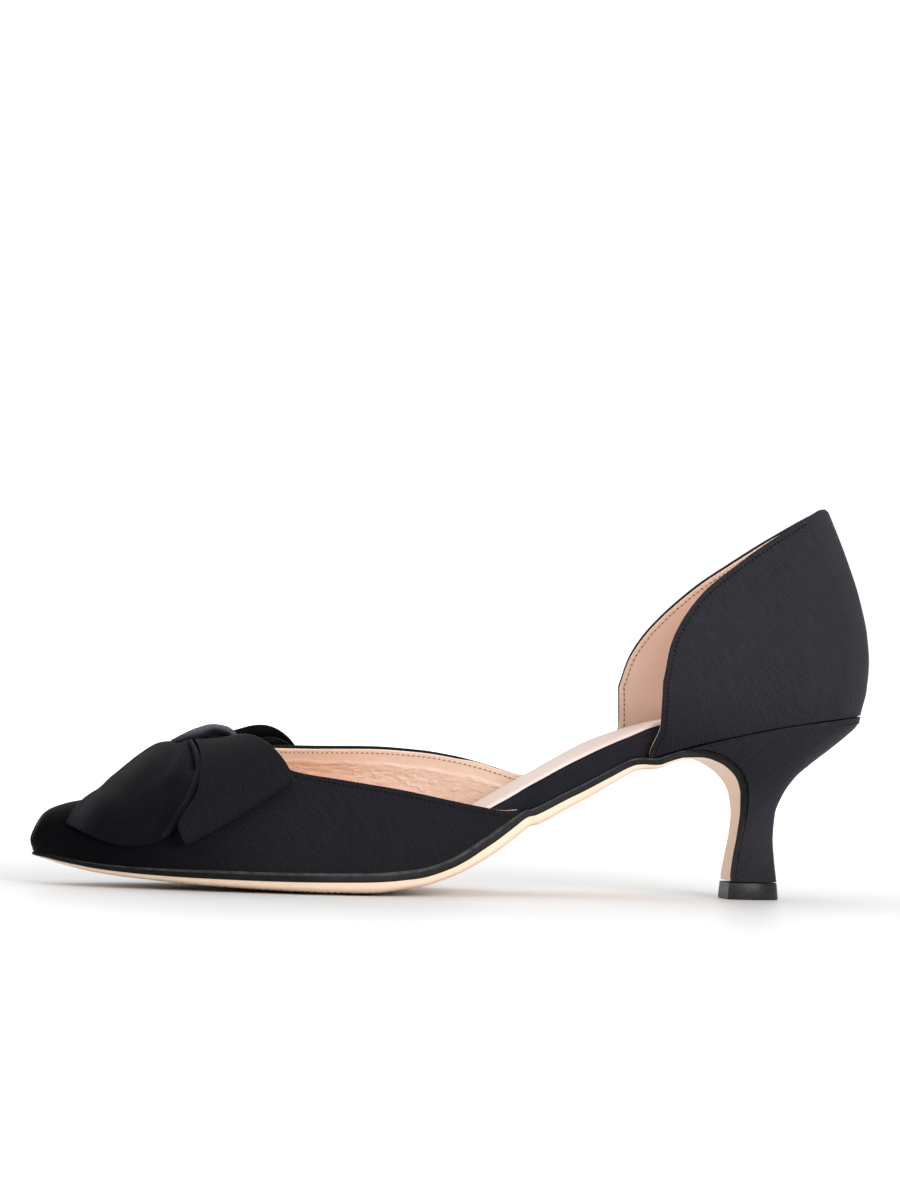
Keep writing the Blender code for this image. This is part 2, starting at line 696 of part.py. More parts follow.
def make_heel(collection):
    points = []
    shares = list(np.linspace(0, 1, 17))
    top_share = next(s for s in np.linspace(0, 1, 2001) if breast(s)[0].x > HEEL_SHELF)
    for share in shares:
        row, heading = breast(1 + (top_share - 1) * share)
        back_x = float(table(HEEL, "back_x", share, "share"))
        back_z = float(table(HEEL, "back_z", share, "share"))
        half = float(table(HEEL, "half", share, "share"))
        front_x = row.x - GAP * heading[1]
        front_z = max(row.z + GAP * heading[0], HEEL_BASE)

        def place(s, w):
            return np.array([front_x + s * (back_x - front_x), half * w, front_z + s * (back_z - front_z)])

        points += heel_ring(place)
    seat_back = HEEL_X - OVERHANG
    half = float(table(HEEL, "half", 1.0, "share"))

    def seat(s, w):
        x = HEEL_SHELF + s * (seat_back - HEEL_SHELF)
        return np.array([x, half * w, sole_line(x) - GAP / 2])

    points += heel_ring(seat)
    count = len(points) // (len(shares) + 1)
    faces = loft_faces(len(shares) + 1, count)
    for first in (0, len(shares) * count):
        faces.append((first, first + 1, first + count - 1))
        for k in range(1, count // 2):
            low = [first + k, first + k + 1]
            high = [first + count - k - 1, first + count - k]
            faces.append(tuple(dict.fromkeys(low + high)))
    return add_part("heel", points, faces, CLOTH, collection)


def make_top_lift(collection):
    points = []
    for row in TOP_LIFT:

        def place(s, w):
            return np.array([row.front + s * (row.back - row.front), row.half * w, row.z])

        points += heel_ring(place)
    count = len(points) // 2
    faces = loft_faces(2, count)
    faces += [tuple(range(count)), tuple(range(count, 2 * count))]
    return add_part("top_lift", points, faces, LIFT_RUBBER, collection)


def make_loop(name, side, rows, full, root_full, collection):
    widths = np.linspace(0, 1, 9)
    points = []
    for row in LOOP_RISE:
        places = {n: float(table(rows, n, row.run, "run")) for n in Loop._fields[1:]}
        swell = full + root_full * (1 - row.run) ** 3
        for t in widths:
            x = places["toe_x"] + t * (places["heel_x"] - places["toe_x"])
            across = places["toe_across"] + t * (places["heel_across"] - places["toe_across"])
            rise = LOOP_LIE + swell * (row.toe + t * (row.heel - row.toe) - LOOP_LIE)
            points.append(over_vamp(x, side * across, rise))
    faces = grid_faces(len(LOOP_RISE), len(widths))
    return add_part(name, points, faces, CLOTH, collection, RIBBON, 0.0)


def make_tail(name, side, rows, collection):
    widths = np.linspace(0, 1, 9)
    points = []
    runs = np.linspace(0, 1, 12)
    for run in runs:
        at = {n: float(table(rows, n, run, "run")) for n in Tail._fields[1:]}
        for t in widths:
            x = at["toe_x"] + t * (at["heel_x"] - at["toe_x"])
            across = at["toe_across"] + t * (at["heel_across"] - at["toe_across"])
            across += TAIL_SWEEP * run * run * 4 * t * (1 - t)
            rise = at["toe_rise"] + t * (at["heel_rise"] - at["toe_rise"])
            points.append(over_vamp(x, side * across, rise))
    faces = grid_faces(len(runs), len(widths))
    return add_part(name, points, faces, CLOTH, collection, RIBBON, 0.0)


# The knot is a band of cloth arched over the middle of the bow, with its core under it.
def make_knot(collection):
    steps = np.hypot(np.diff(column(KNOT, "x")), np.diff(column(KNOT, "z")))
    run = np.concatenate([[0], np.cumsum(steps)])
    places = np.linspace(0, run[-1], 13)
    rounds = np.linspace(0, 2 * math.pi, 13)[:-1]
    middle = float(ridge("aside", KNOT[3].x))
    points = []
    for at in places:
        row = Knot(*(float(smooth(at, run, column(KNOT, name))) for name in Knot._fields))
        near = np.clip([at - 0.2, at + 0.2], 0, run[-1])
        dx = float(np.diff(smooth(near, run, column(KNOT, "x")))[0])
        dz = float(np.diff(smooth(near, run, column(KNOT, "z")))[0])
        up = np.array([-dz, dx]) / math.hypot(dx, dz)
        for turn in rounds:
            wide = row.half * math.copysign(abs(math.cos(turn)) ** 0.5, math.cos(turn))
            thick = row.wall / 2 * math.copysign(abs(math.sin(turn)) ** 0.7, math.sin(turn))
            thick -= KNOT_CURL * row.wall * (wide / row.half) ** 2
            point = np.array([row.x + thick * up[0], middle + wide, row.z + thick * up[1]])
            if CORE_FRONT < row.x < CORE_BACK and math.sin(turn) < 0 and abs(wide) < CORE_HALF:
                point[2] = min(point[2], ridge("z", point[0]) + CORE_CLEAR)
            points.append(point)
    count = len(rounds)
    faces = loft_faces(len(places), count)
    faces += [tuple(range(count)), tuple(range(len(points) - count, len(points)))]
    return add_part("bow_knot", points, faces, CLOTH, collection)


def main():
    for old in list(bpy.data.objects):
        bpy.data.objects.remove(old)
    shoe = bpy.data.collections.new("kitten_heel_pump")
    bpy.context.scene.collection.children.link(shoe)
    make_outsole(shoe)
    make_insole(shoe)
    make_sock(shoe)
    make_heel(shoe)
    make_top_lift(shoe)
    make_vamp(shoe)
    make_counter(shoe)
    make_loop("bow_loop_inner", -1, INNER_LOOP, 1.0, 0.0, shoe)
    make_loop("bow_loop_outer", 1, OUTER_LOOP, OUTER_LOOP_FULL, OUTER_ROOT_FULL, shoe)
    make_tail("bow_tail_inner", -1, INNER_TAIL, shoe)
    make_tail("bow_tail_outer", 1, OUTER_TAIL, shoe)
    make_knot(shoe)


main()
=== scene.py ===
import math

import bmesh
import bpy
import numpy as np
from mathutils import Matrix, Vector


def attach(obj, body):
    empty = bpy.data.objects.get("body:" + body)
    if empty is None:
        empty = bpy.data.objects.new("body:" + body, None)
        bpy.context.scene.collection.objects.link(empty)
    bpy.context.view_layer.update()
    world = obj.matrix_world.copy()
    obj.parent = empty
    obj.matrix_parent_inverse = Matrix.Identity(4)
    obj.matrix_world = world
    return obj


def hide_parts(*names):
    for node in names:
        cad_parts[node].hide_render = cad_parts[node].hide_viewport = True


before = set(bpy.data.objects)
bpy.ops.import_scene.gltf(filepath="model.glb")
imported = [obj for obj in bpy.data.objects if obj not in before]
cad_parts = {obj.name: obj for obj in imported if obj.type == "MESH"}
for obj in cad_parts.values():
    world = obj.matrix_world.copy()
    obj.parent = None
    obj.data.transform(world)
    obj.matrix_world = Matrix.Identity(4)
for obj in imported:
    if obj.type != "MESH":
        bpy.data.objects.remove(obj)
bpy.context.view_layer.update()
print("frame loaded,", len(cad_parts), "solids")

# Sizes are in millimetres, turned into metres as each mesh is made. X runs from toe to heel,
# -Y is the inner side of this right shoe and the floor is Z = 0.
mm = 0.001


# Rows of numbers under a line of column names
def table(names, *rows):
    return dict(zip(names.split(), np.array(rows, float).T))


# A smooth line through table values that never overshoots them
def smooth(at, knots, values):
    at = np.asarray(at, float)
    step = np.diff(knots)
    rate = np.diff(values) / step
    slope = np.zeros(len(knots))
    slope[0] = rate[0]
    slope[-1] = rate[-1]
    for i in range(1, len(knots) - 1):
        if rate[i - 1] * rate[i] > 0:
            near = 2 * step[i] + step[i - 1]
            far = step[i] + 2 * step[i - 1]
            slope[i] = (near + far) / (near / rate[i - 1] + far / rate[i])
    i = np.clip(np.searchsorted(knots, at) - 1, 0, len(knots) - 2)
    t = (at - knots[i]) / step[i]
    rest = 1 - t
    start = values[i] * (1 + 2 * t) * rest**2 + slope[i] * step[i] * t * rest**2
    end = values[i + 1] * (3 - 2 * t) * t**2 - slope[i + 1] * step[i] * t**2 * rest
    return start + end


# A column of a table at a place, held level past the table's ends
def read(rows, name, at, by="x"):
    knots = rows[by]
    return smooth(np.clip(at, knots[0], knots[-1]), knots, rows[name])


def ease(t):
    t = np.clip(t, 0.0, 1.0)
    return t * t * (3 - 2 * t)


def unit(vectors):
    size = np.linalg.norm(vectors, axis=-1, keepdims=True)
    return vectors / np.maximum(size, 1e-9)


# Length along a line of points, from 0 at its first
def runOf(points):
    return np.concatenate([[0], np.cumsum(np.linalg.norm(np.diff(points, axis=0), axis=1))])


# The way a table's path heads in X and Z, at a length along it
def headingAt(at, run, rows, step):
    near = np.clip([at - step, at + step], 0, run[-1])
    dx, dz = (float(np.diff(smooth(near, run, rows[name]))[0]) for name in ("x", "z"))
    return np.array([dx, dz]) / math.hypot(dx, dz)


# The last: its length, the sole's overhang, the gap between pieces and how a lining lies under its cloth
shoeLast = {
    "toeX": -126.1, "heelX": 124.8, "gap": 0.3, "overhang": 0.8, "overhangFade": 30.0,
    "layerGap": 0.03, "liningRim": 0.5, "turnStep": 0.004,
}
lastRows = table(
    "x feather inner outer edge crown",
    (-126.1, 10.4, 0.0, 0.0, 1.4, 0.0),
    (-122.8, 9.7, 6.4, 6.4, 1.5, 0.5),
    (-117.0, 8.6, 11.2, 11.0, 1.6, 0.9),
    (-107.0, 7.2, 17.3, 16.7, 1.7, 1.4),
    (-95.0, 6.4, 23.2, 22.4, 1.8, 1.8),
    (-80.0, 6.0, 29.4, 28.5, 1.9, 2.5),
    (-62.0, 5.9, 34.6, 34.2, 2.0, 3.2),
    (-44.0, 6.1, 37.3, 37.6, 2.1, 3.9),
    (-30.0, 6.4, 37.0, 38.3, 2.1, 4.2),
    (-17.0, 7.6, 34.3, 37.4, 2.1, 3.6),
    (-6.0, 10.8, 30.4, 35.0, 2.0, 3.4),
    (6.0, 17.3, 25.6, 31.6, 2.0, 4.0),
    (18.0, 24.8, 21.8, 28.0, 2.0, 3.9),
    (32.0, 32.7, 19.4, 24.8, 1.9, 3.4),
    (46.0, 39.5, 19.2, 23.0, 1.9, 2.7),
    (58.0, 44.0, 20.8, 22.8, 1.9, 1.5),
    (70.0, 47.4, 23.2, 23.7, 1.9, 0.0),
    (84.0, 50.6, 25.0, 25.0, 1.9, 0.0),
    (98.0, 53.3, 24.8, 24.8, 1.9, 0.0),
    (112.0, 55.3, 20.6, 20.6, 1.9, 0.0),
    (120.0, 56.2, 13.6, 13.6, 1.9, 0.0),
    (123.6, 56.6, 7.2, 7.2, 1.9, 0.0),
    (124.8, 56.7, 0.0, 0.0, 1.9, 0.0),
)
# How far the sole's edge rises over the feather line or sags under it
soleLineRows = table(
    "x rise",
    (-20.0, 0.0),
    (-6.0, -0.3),
    (6.0, 0.0),
    (13.0, 0.6),
    (17.4, 1.1),
    (20.6, 0.1),
    (26.0, -0.4),
    (35.0, -0.6),
    (43.0, -0.15),
    (50.0, 0.6),
    (53.0, 0.0),
    (55.6, -1.0),
    (58.4, -1.7),
    (62.2, -1.4),
    (66.0, -1.15),
    (71.0, -0.7),
    (78.0, -0.4),
    (100.0, 0.0),
)


# The angle that runs 0 to pi from toe to heel, so that both ends come out round
def turnAt(x):
    share = (np.asarray(x, float) - shoeLast["toeX"]) / (shoeLast["heelX"] - shoeLast["toeX"])
    return np.arccos(np.clip(1 - 2 * share, -1, 1))


def xAt(turn):
    return shoeLast["toeX"] + (shoeLast["heelX"] - shoeLast["toeX"]) * (1 - np.cos(turn)) / 2


def lastAt(name, x):
    return smooth(turnAt(x), turnAt(lastRows["x"]), lastRows[name])


def soleLine(x):
    return lastAt("feather", x) + read(soleLineRows, "rise", x)


def halfWidth(x, side):
    return np.where(np.asarray(side) < 0, lastAt("inner", x), lastAt("outer", x))


def overhangAt(x):
    return shoeLast["overhang"] * ease((x - shoeLast["toeX"]) / shoeLast["overhangFade"])


# Points of the sole outline moved in by a distance, with the outward direction there
def outline(turn, side, inset=0.0):
    turn = np.asarray(turn, float)
    before = np.maximum(turn - shoeLast["turnStep"], 0.0)
    after = np.minimum(turn + shoeLast["turnStep"], math.pi)
    dx = xAt(after) - xAt(before)
    dy = side * (halfWidth(xAt(after), side) - halfWidth(xAt(before), side))
    size = np.hypot(dx, dy)
    atEnd = (before == 0.0) | (after == math.pi)
    outX = np.where(atEnd, np.sign(turn - 1), -side * dy / size)
    outY = np.where(atEnd, 0.0, side * dx / size)
    x = xAt(turn)
    return x - inset * outX, side * halfWidth(x, side) - inset * outY, outX, outY


# Four-sided faces over a grid of points, counted from start
def gridFaces(rows, columns, start=0, flip=False):
    i, j = np.meshgrid(np.arange(rows - 1), np.arange(columns - 1), indexing="ij")
    a = (start + i * columns + j).ravel()
    faces = np.stack([a, a + 1, a + columns + 1, a + columns], 1)
    return (faces[:, ::-1] if flip else faces).tolist()


# Soft troughs (or ridges, where the depth is negative) along given lines
def troughs(px, py, rows):
    total = np.zeros(np.broadcast(px, py).shape)
    for x0, y0, x1, y1, bow, width, depth in zip(*rows.values()):
        run = (x1 - x0) ** 2 + (y1 - y0) ** 2
        t = np.clip(((px - x0) * (x1 - x0) + (py - y0) * (y1 - y0)) / run, 0, 1)
        lineX = x0 + t * (x1 - x0)
        lineY = y0 + t * (y1 - y0) + bow * np.sin(math.pi * t)
        total += depth * np.exp(-((px - lineX) ** 2 + (py - lineY) ** 2) / width**2)
    return total


# Mesh making: points closer than these are joined, in metres for a finished mesh and in millimetres for
# a skin. The end of a loft gets a cap only if it is wider than capFrom; a smaller end has closed on itself.
meshing = {"join": 0.000004, "thin": 0.000002, "skinJoin": 0.01, "skinThin": 0.005, "capFrom": 4.0}


# A cleaned, outward-facing mesh; ribs is what its material reads, lookOf the material of each face
def finishMesh(name, points, faces, ribs, looks, lookOf=None, sharp=50):
    mesh = bpy.data.meshes.new(name)
    mesh.from_pydata((np.asarray(points, float) * mm).tolist(), [], faces)
    if ribs is not None:
        lines = mesh.attributes.new("ribs", "FLOAT_VECTOR", "POINT")
        lines.data.foreach_set("vector", np.asarray(ribs, np.float32).ravel())
    for look in looks:
        mesh.materials.append(look)
    if lookOf is not None:
        mesh.polygons.foreach_set("material_index", np.asarray(lookOf, np.int32))
    form = bmesh.new()
    form.from_mesh(mesh)
    bmesh.ops.remove_doubles(form, verts=form.verts, dist=meshing["join"])
    bmesh.ops.dissolve_degenerate(form, edges=form.edges, dist=meshing["thin"])
    if form.calc_volume(signed=True) < 0:
        bmesh.ops.reverse_faces(form, faces=form.faces)
    form.to_mesh(mesh)
    form.free()
    mesh.shade_smooth()
    mesh.set_sharp_from_angle(angle=math.radians(sharp))
    piece = bpy.data.objects.new(name, mesh)
    bpy.context.scene.collection.objects.link(piece)
    return piece


# A piece moves with the shoe and stands for the solids named, which it hides
def settle(piece, slot, *nodes):
    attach(piece, "root")
    if nodes:
        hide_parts(*nodes)
    print(piece.name, len(piece.data.polygons), "faces")


# Closed rings of equal count joined into a skin, with flat ends
def loft(name, rings, ribs, looks, ringLook=None, sharp=50):
    rings = np.asarray(rings, float)
    rows, count, _ = rings.shape
    faces = []
    lookOf = []
    for i in range(rows - 1):
        for j in range(count):
            k = (j + 1) % count
            faces.append((i * count + j, i * count + k, (i + 1) * count + k, (i + 1) * count + j))
            lookOf.append(0 if ringLook is None else int(ringLook[i][j]))
    for first in (0, (rows - 1) * count):
        if np.ptp(rings.reshape(-1, 3)[first : first + count], axis=0).max() > meshing["capFrom"]:
            faces.append(tuple(range(first, first + count)))
            lookOf.append(0)
    flatRibs = None if ribs is None else np.asarray(ribs, float).reshape(-1, 3)
    return finishMesh(name, rings.reshape(-1, 3), faces, flatRibs, looks, lookOf, sharp)


# A skin given a wall inwards from its face, with a rounded rim all round
def shell(name, points, faces, wall, ribs, look, start=0.0, rim=0.8, rimSteps=4):
    form = bmesh.new()
    ribLayer = form.verts.layers.float_vector.new("ribs")
    wallLayer = form.verts.layers.float.new("wall")
    points = np.asarray(points, float).reshape(-1, 3)
    ribs = np.asarray(ribs, float).reshape(-1, 3)
    walls = np.broadcast_to(np.asarray(wall, float).ravel(), (len(points),))
    verts = []
    for p, r, w in zip(points, ribs, walls):
        vert = form.verts.new(p)
        vert[ribLayer] = r
        vert[wallLayer] = w
        verts.append(vert)
    for face in faces:
        form.faces.new([verts[i] for i in face])
    bmesh.ops.remove_doubles(form, verts=form.verts, dist=meshing["skinJoin"])
    bmesh.ops.dissolve_degenerate(form, edges=form.edges, dist=meshing["skinThin"])
    form.normal_update()
    form.verts.index_update()
    place = np.array([v.co for v in form.verts])
    normal = np.array([v.normal for v in form.verts])
    thick = np.array([v[wallLayer] for v in form.verts])[:, None]
    ribAt = np.array([v[ribLayer] for v in form.verts])
    outward = np.zeros_like(place)
    border = []
    for edge in form.edges:
        if edge.is_boundary:
            loop = edge.link_loops[0]
            a, b = loop.vert, loop.link_loop_next.vert
            out = (b.co - a.co).cross(loop.face.normal)
            outward[a.index] += out
            outward[b.index] += out
            border.append((a.index, b.index))
    skin = [[v.index for v in f.verts] for f in form.faces]
    form.free()
    outward = unit(outward)
    count = len(place)
    edgeOnly = sorted({i for pair in border for i in pair})
    slotOf = {v: k for k, v in enumerate(edgeOnly)}
    face = place - start * normal
    back = place - (start + thick) * normal
    middle = (face + back)[edgeOnly] / 2
    layers = [face, back]
    for step in range(1, rimSteps):
        turn = math.pi * step / rimSteps
        lean = normal[edgeOnly] * math.cos(turn) + rim * outward[edgeOnly] * math.sin(turn)
        layers.append(middle + thick[edgeOnly] / 2 * lean)

    def rimIndex(v, step):
        if step == 0:
            return v
        if step == rimSteps:
            return count + v
        return 2 * count + (step - 1) * len(edgeOnly) + slotOf[v]

    allFaces = list(skin) + [[count + i for i in f[::-1]] for f in skin]
    for a, b in border:
        for step in range(rimSteps):
            corners = (b, step), (a, step), (a, step + 1), (b, step + 1)
            allFaces.append([rimIndex(v, at) for v, at in corners])
    allRibs = np.concatenate([ribAt, ribAt] + [ribAt[edgeOnly]] * (rimSteps - 1))
    return finishMesh(name, np.concatenate(layers), allFaces, allRibs, [look], sharp=60)


# Node materials


def newLook(name):
    look = bpy.data.materials.new(name)
    look.use_nodes = True
    tree = look.node_tree
    return look, tree, tree.nodes["Principled BSDF"]


def addNode(tree, kind, inputs, **settings):
    item = tree.nodes.new(kind)
    for name, value in settings.items():
        setattr(item, name, value)
    for name, value in inputs.items():
        if isinstance(value, bpy.types.NodeSocket):
            tree.links.new(value, item.inputs[name])
        else:
            item.inputs[name].default_value = value
    return item


def mathNode(tree, operation, a, b=0.0, c=0.0):
    return addNode(tree, "ShaderNodeMath", {0: a, 1: b, 2: c}, operation=operation).outputs[0]


def mapTo(tree, value, low, high, outLow, outHigh):
    inputs = {"Value": value, "From Min": low, "From Max": high, "To Min": outLow, "To Max": outHigh}
    return addNode(tree, "ShaderNodeMapRange", inputs).outputs["Result"]


def blendColours(tree, share, dark, light):
    mix = addNode(tree, "ShaderNodeMix", {"Factor": share}, data_type="RGBA")
    for socket, colour in ((mix.inputs[6], dark), (mix.inputs[7], light)):
        if isinstance(colour, bpy.types.NodeSocket):
            tree.links.new(colour, socket)
        else:
            socket.default_value = (*colour, 1.0)
    return mix.outputs[2]


def noise(tree, vector, scale, detail=2.0, rough=0.5):
    inputs = {"Vector": vector, "Scale": scale, "Detail": detail, "Roughness": rough}
    return addNode(tree, "ShaderNodeTexNoise", inputs).outputs["Fac"]


# Spreads noise, which runs mostly from 0.3 to 0.7, over another range
def spreadNoise(tree, value, low, high):
    return mapTo(tree, value, 0.3, 0.7, low, high)


# Black cloth with fine round ribs; the ribs attribute holds millimetres across and along them, then painted
# light:
# above 0 a painted highlight, below 0 a painted shade. Each piece's factor paints it lighter or darker for
# how the light falls on it.
ribbedCloth = {
    "pitch": 0.71, "wobble": 0.07, "wobbleScale": 260.0, "ribHeight": 0.00012, "bump": 1.0,
    "strand": 0.45, "strandHeight": 0.04, "streakRun": 0.12, "streakTone": (0.6, 1.15),
    "fleckScale": 1500.0, "fleckTone": (0.7, 1.2), "fleckHeight": 0.25,
    "paintedLight": 5.5, "fullPaintedShade": -0.2, "darkRibs": 0.25, "darkest": -0.75,
    # Lighter crests and darker valleys: painted light and shade on the ribs, over the bump's relief
    "valley": (0.0080, 0.0077, 0.0098), "crest": (0.0170, 0.0164, 0.0204),
    "roughness": 0.6, "sheen": 0.05, "sheenRoughness": 0.35, "specular": 0.03,
    # Per-piece factors: painted light and shade, lighter where a piece catches more light; the far loop's is
    # a painted shade
    "grain": {"vampCloth": 1.2, "counterCloth": 2.0, "heelCloth": 1.6, "wrapCloth": 1.4, "ribbonCloth": 1.0,
              "shadedFarCloth": 0.15},
}


def makeCloth(name):
    look, tree, shader = newLook(name)
    lines = addNode(tree, "ShaderNodeAttribute", {}, attribute_name="ribs").outputs["Vector"]
    parts = addNode(tree, "ShaderNodeSeparateXYZ", {"Vector": lines})
    across, along, wearAndPaintedLight = parts.outputs["X"], parts.outputs["Y"], parts.outputs["Z"]
    place = addNode(tree, "ShaderNodeTexCoord", {}).outputs["Object"]
    drift = noise(tree, place, ribbedCloth["wobbleScale"])
    drift = spreadNoise(tree, drift, -ribbedCloth["wobble"], ribbedCloth["wobble"])
    turns = mathNode(tree, "MULTIPLY_ADD", across, 1 / ribbedCloth["pitch"], drift)
    wave = mathNode(tree, "SINE", mathNode(tree, "MULTIPLY", turns, 2 * math.pi))
    rib = mapTo(tree, wave, -1, 1, 0, 1)
    strand = mathNode(tree, "SINE", mathNode(tree, "MULTIPLY", along, 2 * math.pi / ribbedCloth["strand"]))
    slowRun = mathNode(tree, "MULTIPLY", along, ribbedCloth["streakRun"])
    streakAt = addNode(tree, "ShaderNodeCombineXYZ", {"X": turns, "Y": slowRun}).outputs["Vector"]
    streak = noise(tree, streakAt, scale=1.0, detail=1.0)
    fleck = noise(tree, place, ribbedCloth["fleckScale"])
    tone = mathNode(tree, "MULTIPLY", rib, spreadNoise(tree, streak, *ribbedCloth["streakTone"]))
    tone = mathNode(tree, "MULTIPLY", tone, spreadNoise(tree, fleck, *ribbedCloth["fleckTone"]))
    # In painted shade the ribs lose their contrast
    plain = mapTo(tree, wearAndPaintedLight, ribbedCloth["fullPaintedShade"], 0, ribbedCloth["darkRibs"], 1)
    tone = mathNode(tree, "MULTIPLY_ADD", mathNode(tree, "SUBTRACT", tone, 0.5), plain, 0.5)
    # Painted light: highlights raise the tone, painted shade lowers it
    tone = mathNode(tree, "MULTIPLY_ADD", wearAndPaintedLight, ribbedCloth["paintedLight"], tone)
    tone = mathNode(tree, "MAXIMUM", tone, ribbedCloth["darkest"])
    grain = ribbedCloth["grain"][name]
    crest = tuple(grain * c for c in ribbedCloth["crest"])
    valley = tuple(grain * c for c in ribbedCloth["valley"])
    mixed = blendColours(tree, tone, valley, crest)
    mixed.node.clamp_factor = False
    tree.links.new(mixed, shader.inputs["Base Color"])
    height = mathNode(tree, "MULTIPLY_ADD", strand, ribbedCloth["strandHeight"], rib)
    height = mathNode(tree, "MULTIPLY", height, plain)
    height = mathNode(tree, "MULTIPLY_ADD", fleck, ribbedCloth["fleckHeight"], height)
    bump = addNode(tree, "ShaderNodeBump", {"Height": height, "Strength": ribbedCloth["bump"],
                                           "Distance": ribbedCloth["ribHeight"]})
    tree.links.new(bump.outputs["Normal"], shader.inputs["Normal"])
    shader.inputs["Roughness"].default_value = ribbedCloth["roughness"]
    shader.inputs["Specular IOR Level"].default_value = ribbedCloth["specular"]
    shader.inputs["Sheen Weight"].default_value = ribbedCloth["sheen"]
    shader.inputs["Sheen Roughness"].default_value = ribbedCloth["sheenRoughness"]
    return look


# Leathers: a soft tone drift, pores and grain in the bump, a little gloss
leathers = {
    "liningLeather": {"pale": (0.86, 0.65, 0.52), "deep": (0.79, 0.57, 0.44), "drift": 45.0, "grain": 700.0,
                      "grainHeight": 0.0002, "bump": 0.6, "roughness": 0.5, "specular": 0.4},
    "counterLining": {"pale": (0.95, 0.71, 0.57), "deep": (0.89, 0.64, 0.51), "drift": 30.0, "grain": 1400.0,
                      "grainHeight": 0.00006, "bump": 0.3, "roughness": 0.4, "specular": 0.45},
    "sockLeather": {"pale": (0.84, 0.71, 0.65), "deep": (0.78, 0.64, 0.58), "drift": 26.0, "grain": 1300.0,
                    "grainHeight": 0.00006, "bump": 0.3, "roughness": 0.48, "specular": 0.4},
    "soleLeather": {"pale": (0.95, 0.73, 0.57), "deep": (0.91, 0.67, 0.50), "drift": 60.0, "grain": 1600.0,
                    "grainHeight": 0.00005, "bump": 0.3, "roughness": 0.45, "specular": 0.45},
}
# Shares of pores, fine grain and slow drift in a leather's tone and bump, and how much its gloss varies
leatherGrain = {"fine": 0.6, "fineTone": 0.35, "driftTone": 0.65, "fineHeight": 0.3, "poreHeight": 0.6,
                "glossier": 0.05, "duller": 0.07}
# Wrinkles of worn lining, where the ribs attribute's last value asks for them, with painted shade in their
# creases; its first value paints shade
wrinkles = {"scale": 520.0, "stretch": (0.5, 0.8, 1.2), "detail": 2.5, "rough": 0.55, "line": 0.15,
            "height": 1.3, "fold": 5.0, "shade": 0.2}


def makeLeather(name):
    kind = leathers[name]
    look, tree, shader = newLook(name)
    place = addNode(tree, "ShaderNodeTexCoord", {}).outputs["Object"]
    lines = addNode(tree, "ShaderNodeAttribute", {}, attribute_name="ribs").outputs["Vector"]
    parts = addNode(tree, "ShaderNodeSeparateXYZ", {"Vector": lines})
    shade, wearAndPaintedLight = parts.outputs["X"], parts.outputs["Z"]
    drift = spreadNoise(tree, noise(tree, place, kind["drift"], detail=3.0), 0, 1)
    poreInputs = {"Vector": place, "Scale": kind["grain"]}
    pores = addNode(tree, "ShaderNodeTexVoronoi", poreInputs).outputs["Distance"]
    fine = noise(tree, place, kind["grain"] * leatherGrain["fine"], detail=3.0)
    tone = mathNode(tree, "MULTIPLY", drift, leatherGrain["driftTone"])
    tone = mathNode(tree, "MULTIPLY_ADD", fine, leatherGrain["fineTone"], tone)
    longInputs = {"Vector": place, "Scale": wrinkles["stretch"]}
    long = addNode(tree, "ShaderNodeMapping", longInputs).outputs["Vector"]
    folds = noise(tree, long, wrinkles["scale"], wrinkles["detail"], wrinkles["rough"])
    away = mathNode(tree, "ABSOLUTE", mathNode(tree, "SUBTRACT", folds, 0.5))
    # Crease lines: painted shade in the wrinkles, as well as dents in the bump
    crease = mathNode(tree, "MULTIPLY", mapTo(tree, away, 0, wrinkles["line"], 1, 0), wearAndPaintedLight)
    base = blendColours(tree, tone, kind["deep"], kind["pale"])
    # Painted shade: creases and the first ribs value darken the leather
    dark = tuple(c * c for c in kind["deep"])
    shade = mathNode(tree, "MULTIPLY_ADD", crease, wrinkles["shade"], shade)
    tree.links.new(blendColours(tree, shade, base, dark), shader.inputs["Base Color"])
    height = mathNode(tree, "MULTIPLY", pores, leatherGrain["poreHeight"])
    height = mathNode(tree, "MULTIPLY_ADD", fine, leatherGrain["fineHeight"], height)
    folded = mathNode(tree, "MULTIPLY", folds, wearAndPaintedLight)
    height = mathNode(tree, "MULTIPLY_ADD", folded, wrinkles["fold"], height)
    height = mathNode(tree, "MULTIPLY_ADD", crease, -wrinkles["height"], height)
    bump = addNode(tree, "ShaderNodeBump", {"Height": height, "Strength": kind["bump"],
                                           "Distance": kind["grainHeight"]})
    tree.links.new(bump.outputs["Normal"], shader.inputs["Normal"])
    smoothest = kind["roughness"] - leatherGrain["glossier"]
    roughest = kind["roughness"] + leatherGrain["duller"]
    tree.links.new(spreadNoise(tree, fine, smoothest, roughest), shader.inputs["Roughness"])
    shader.inputs["Specular IOR Level"].default_value = kind["specular"]
    return look
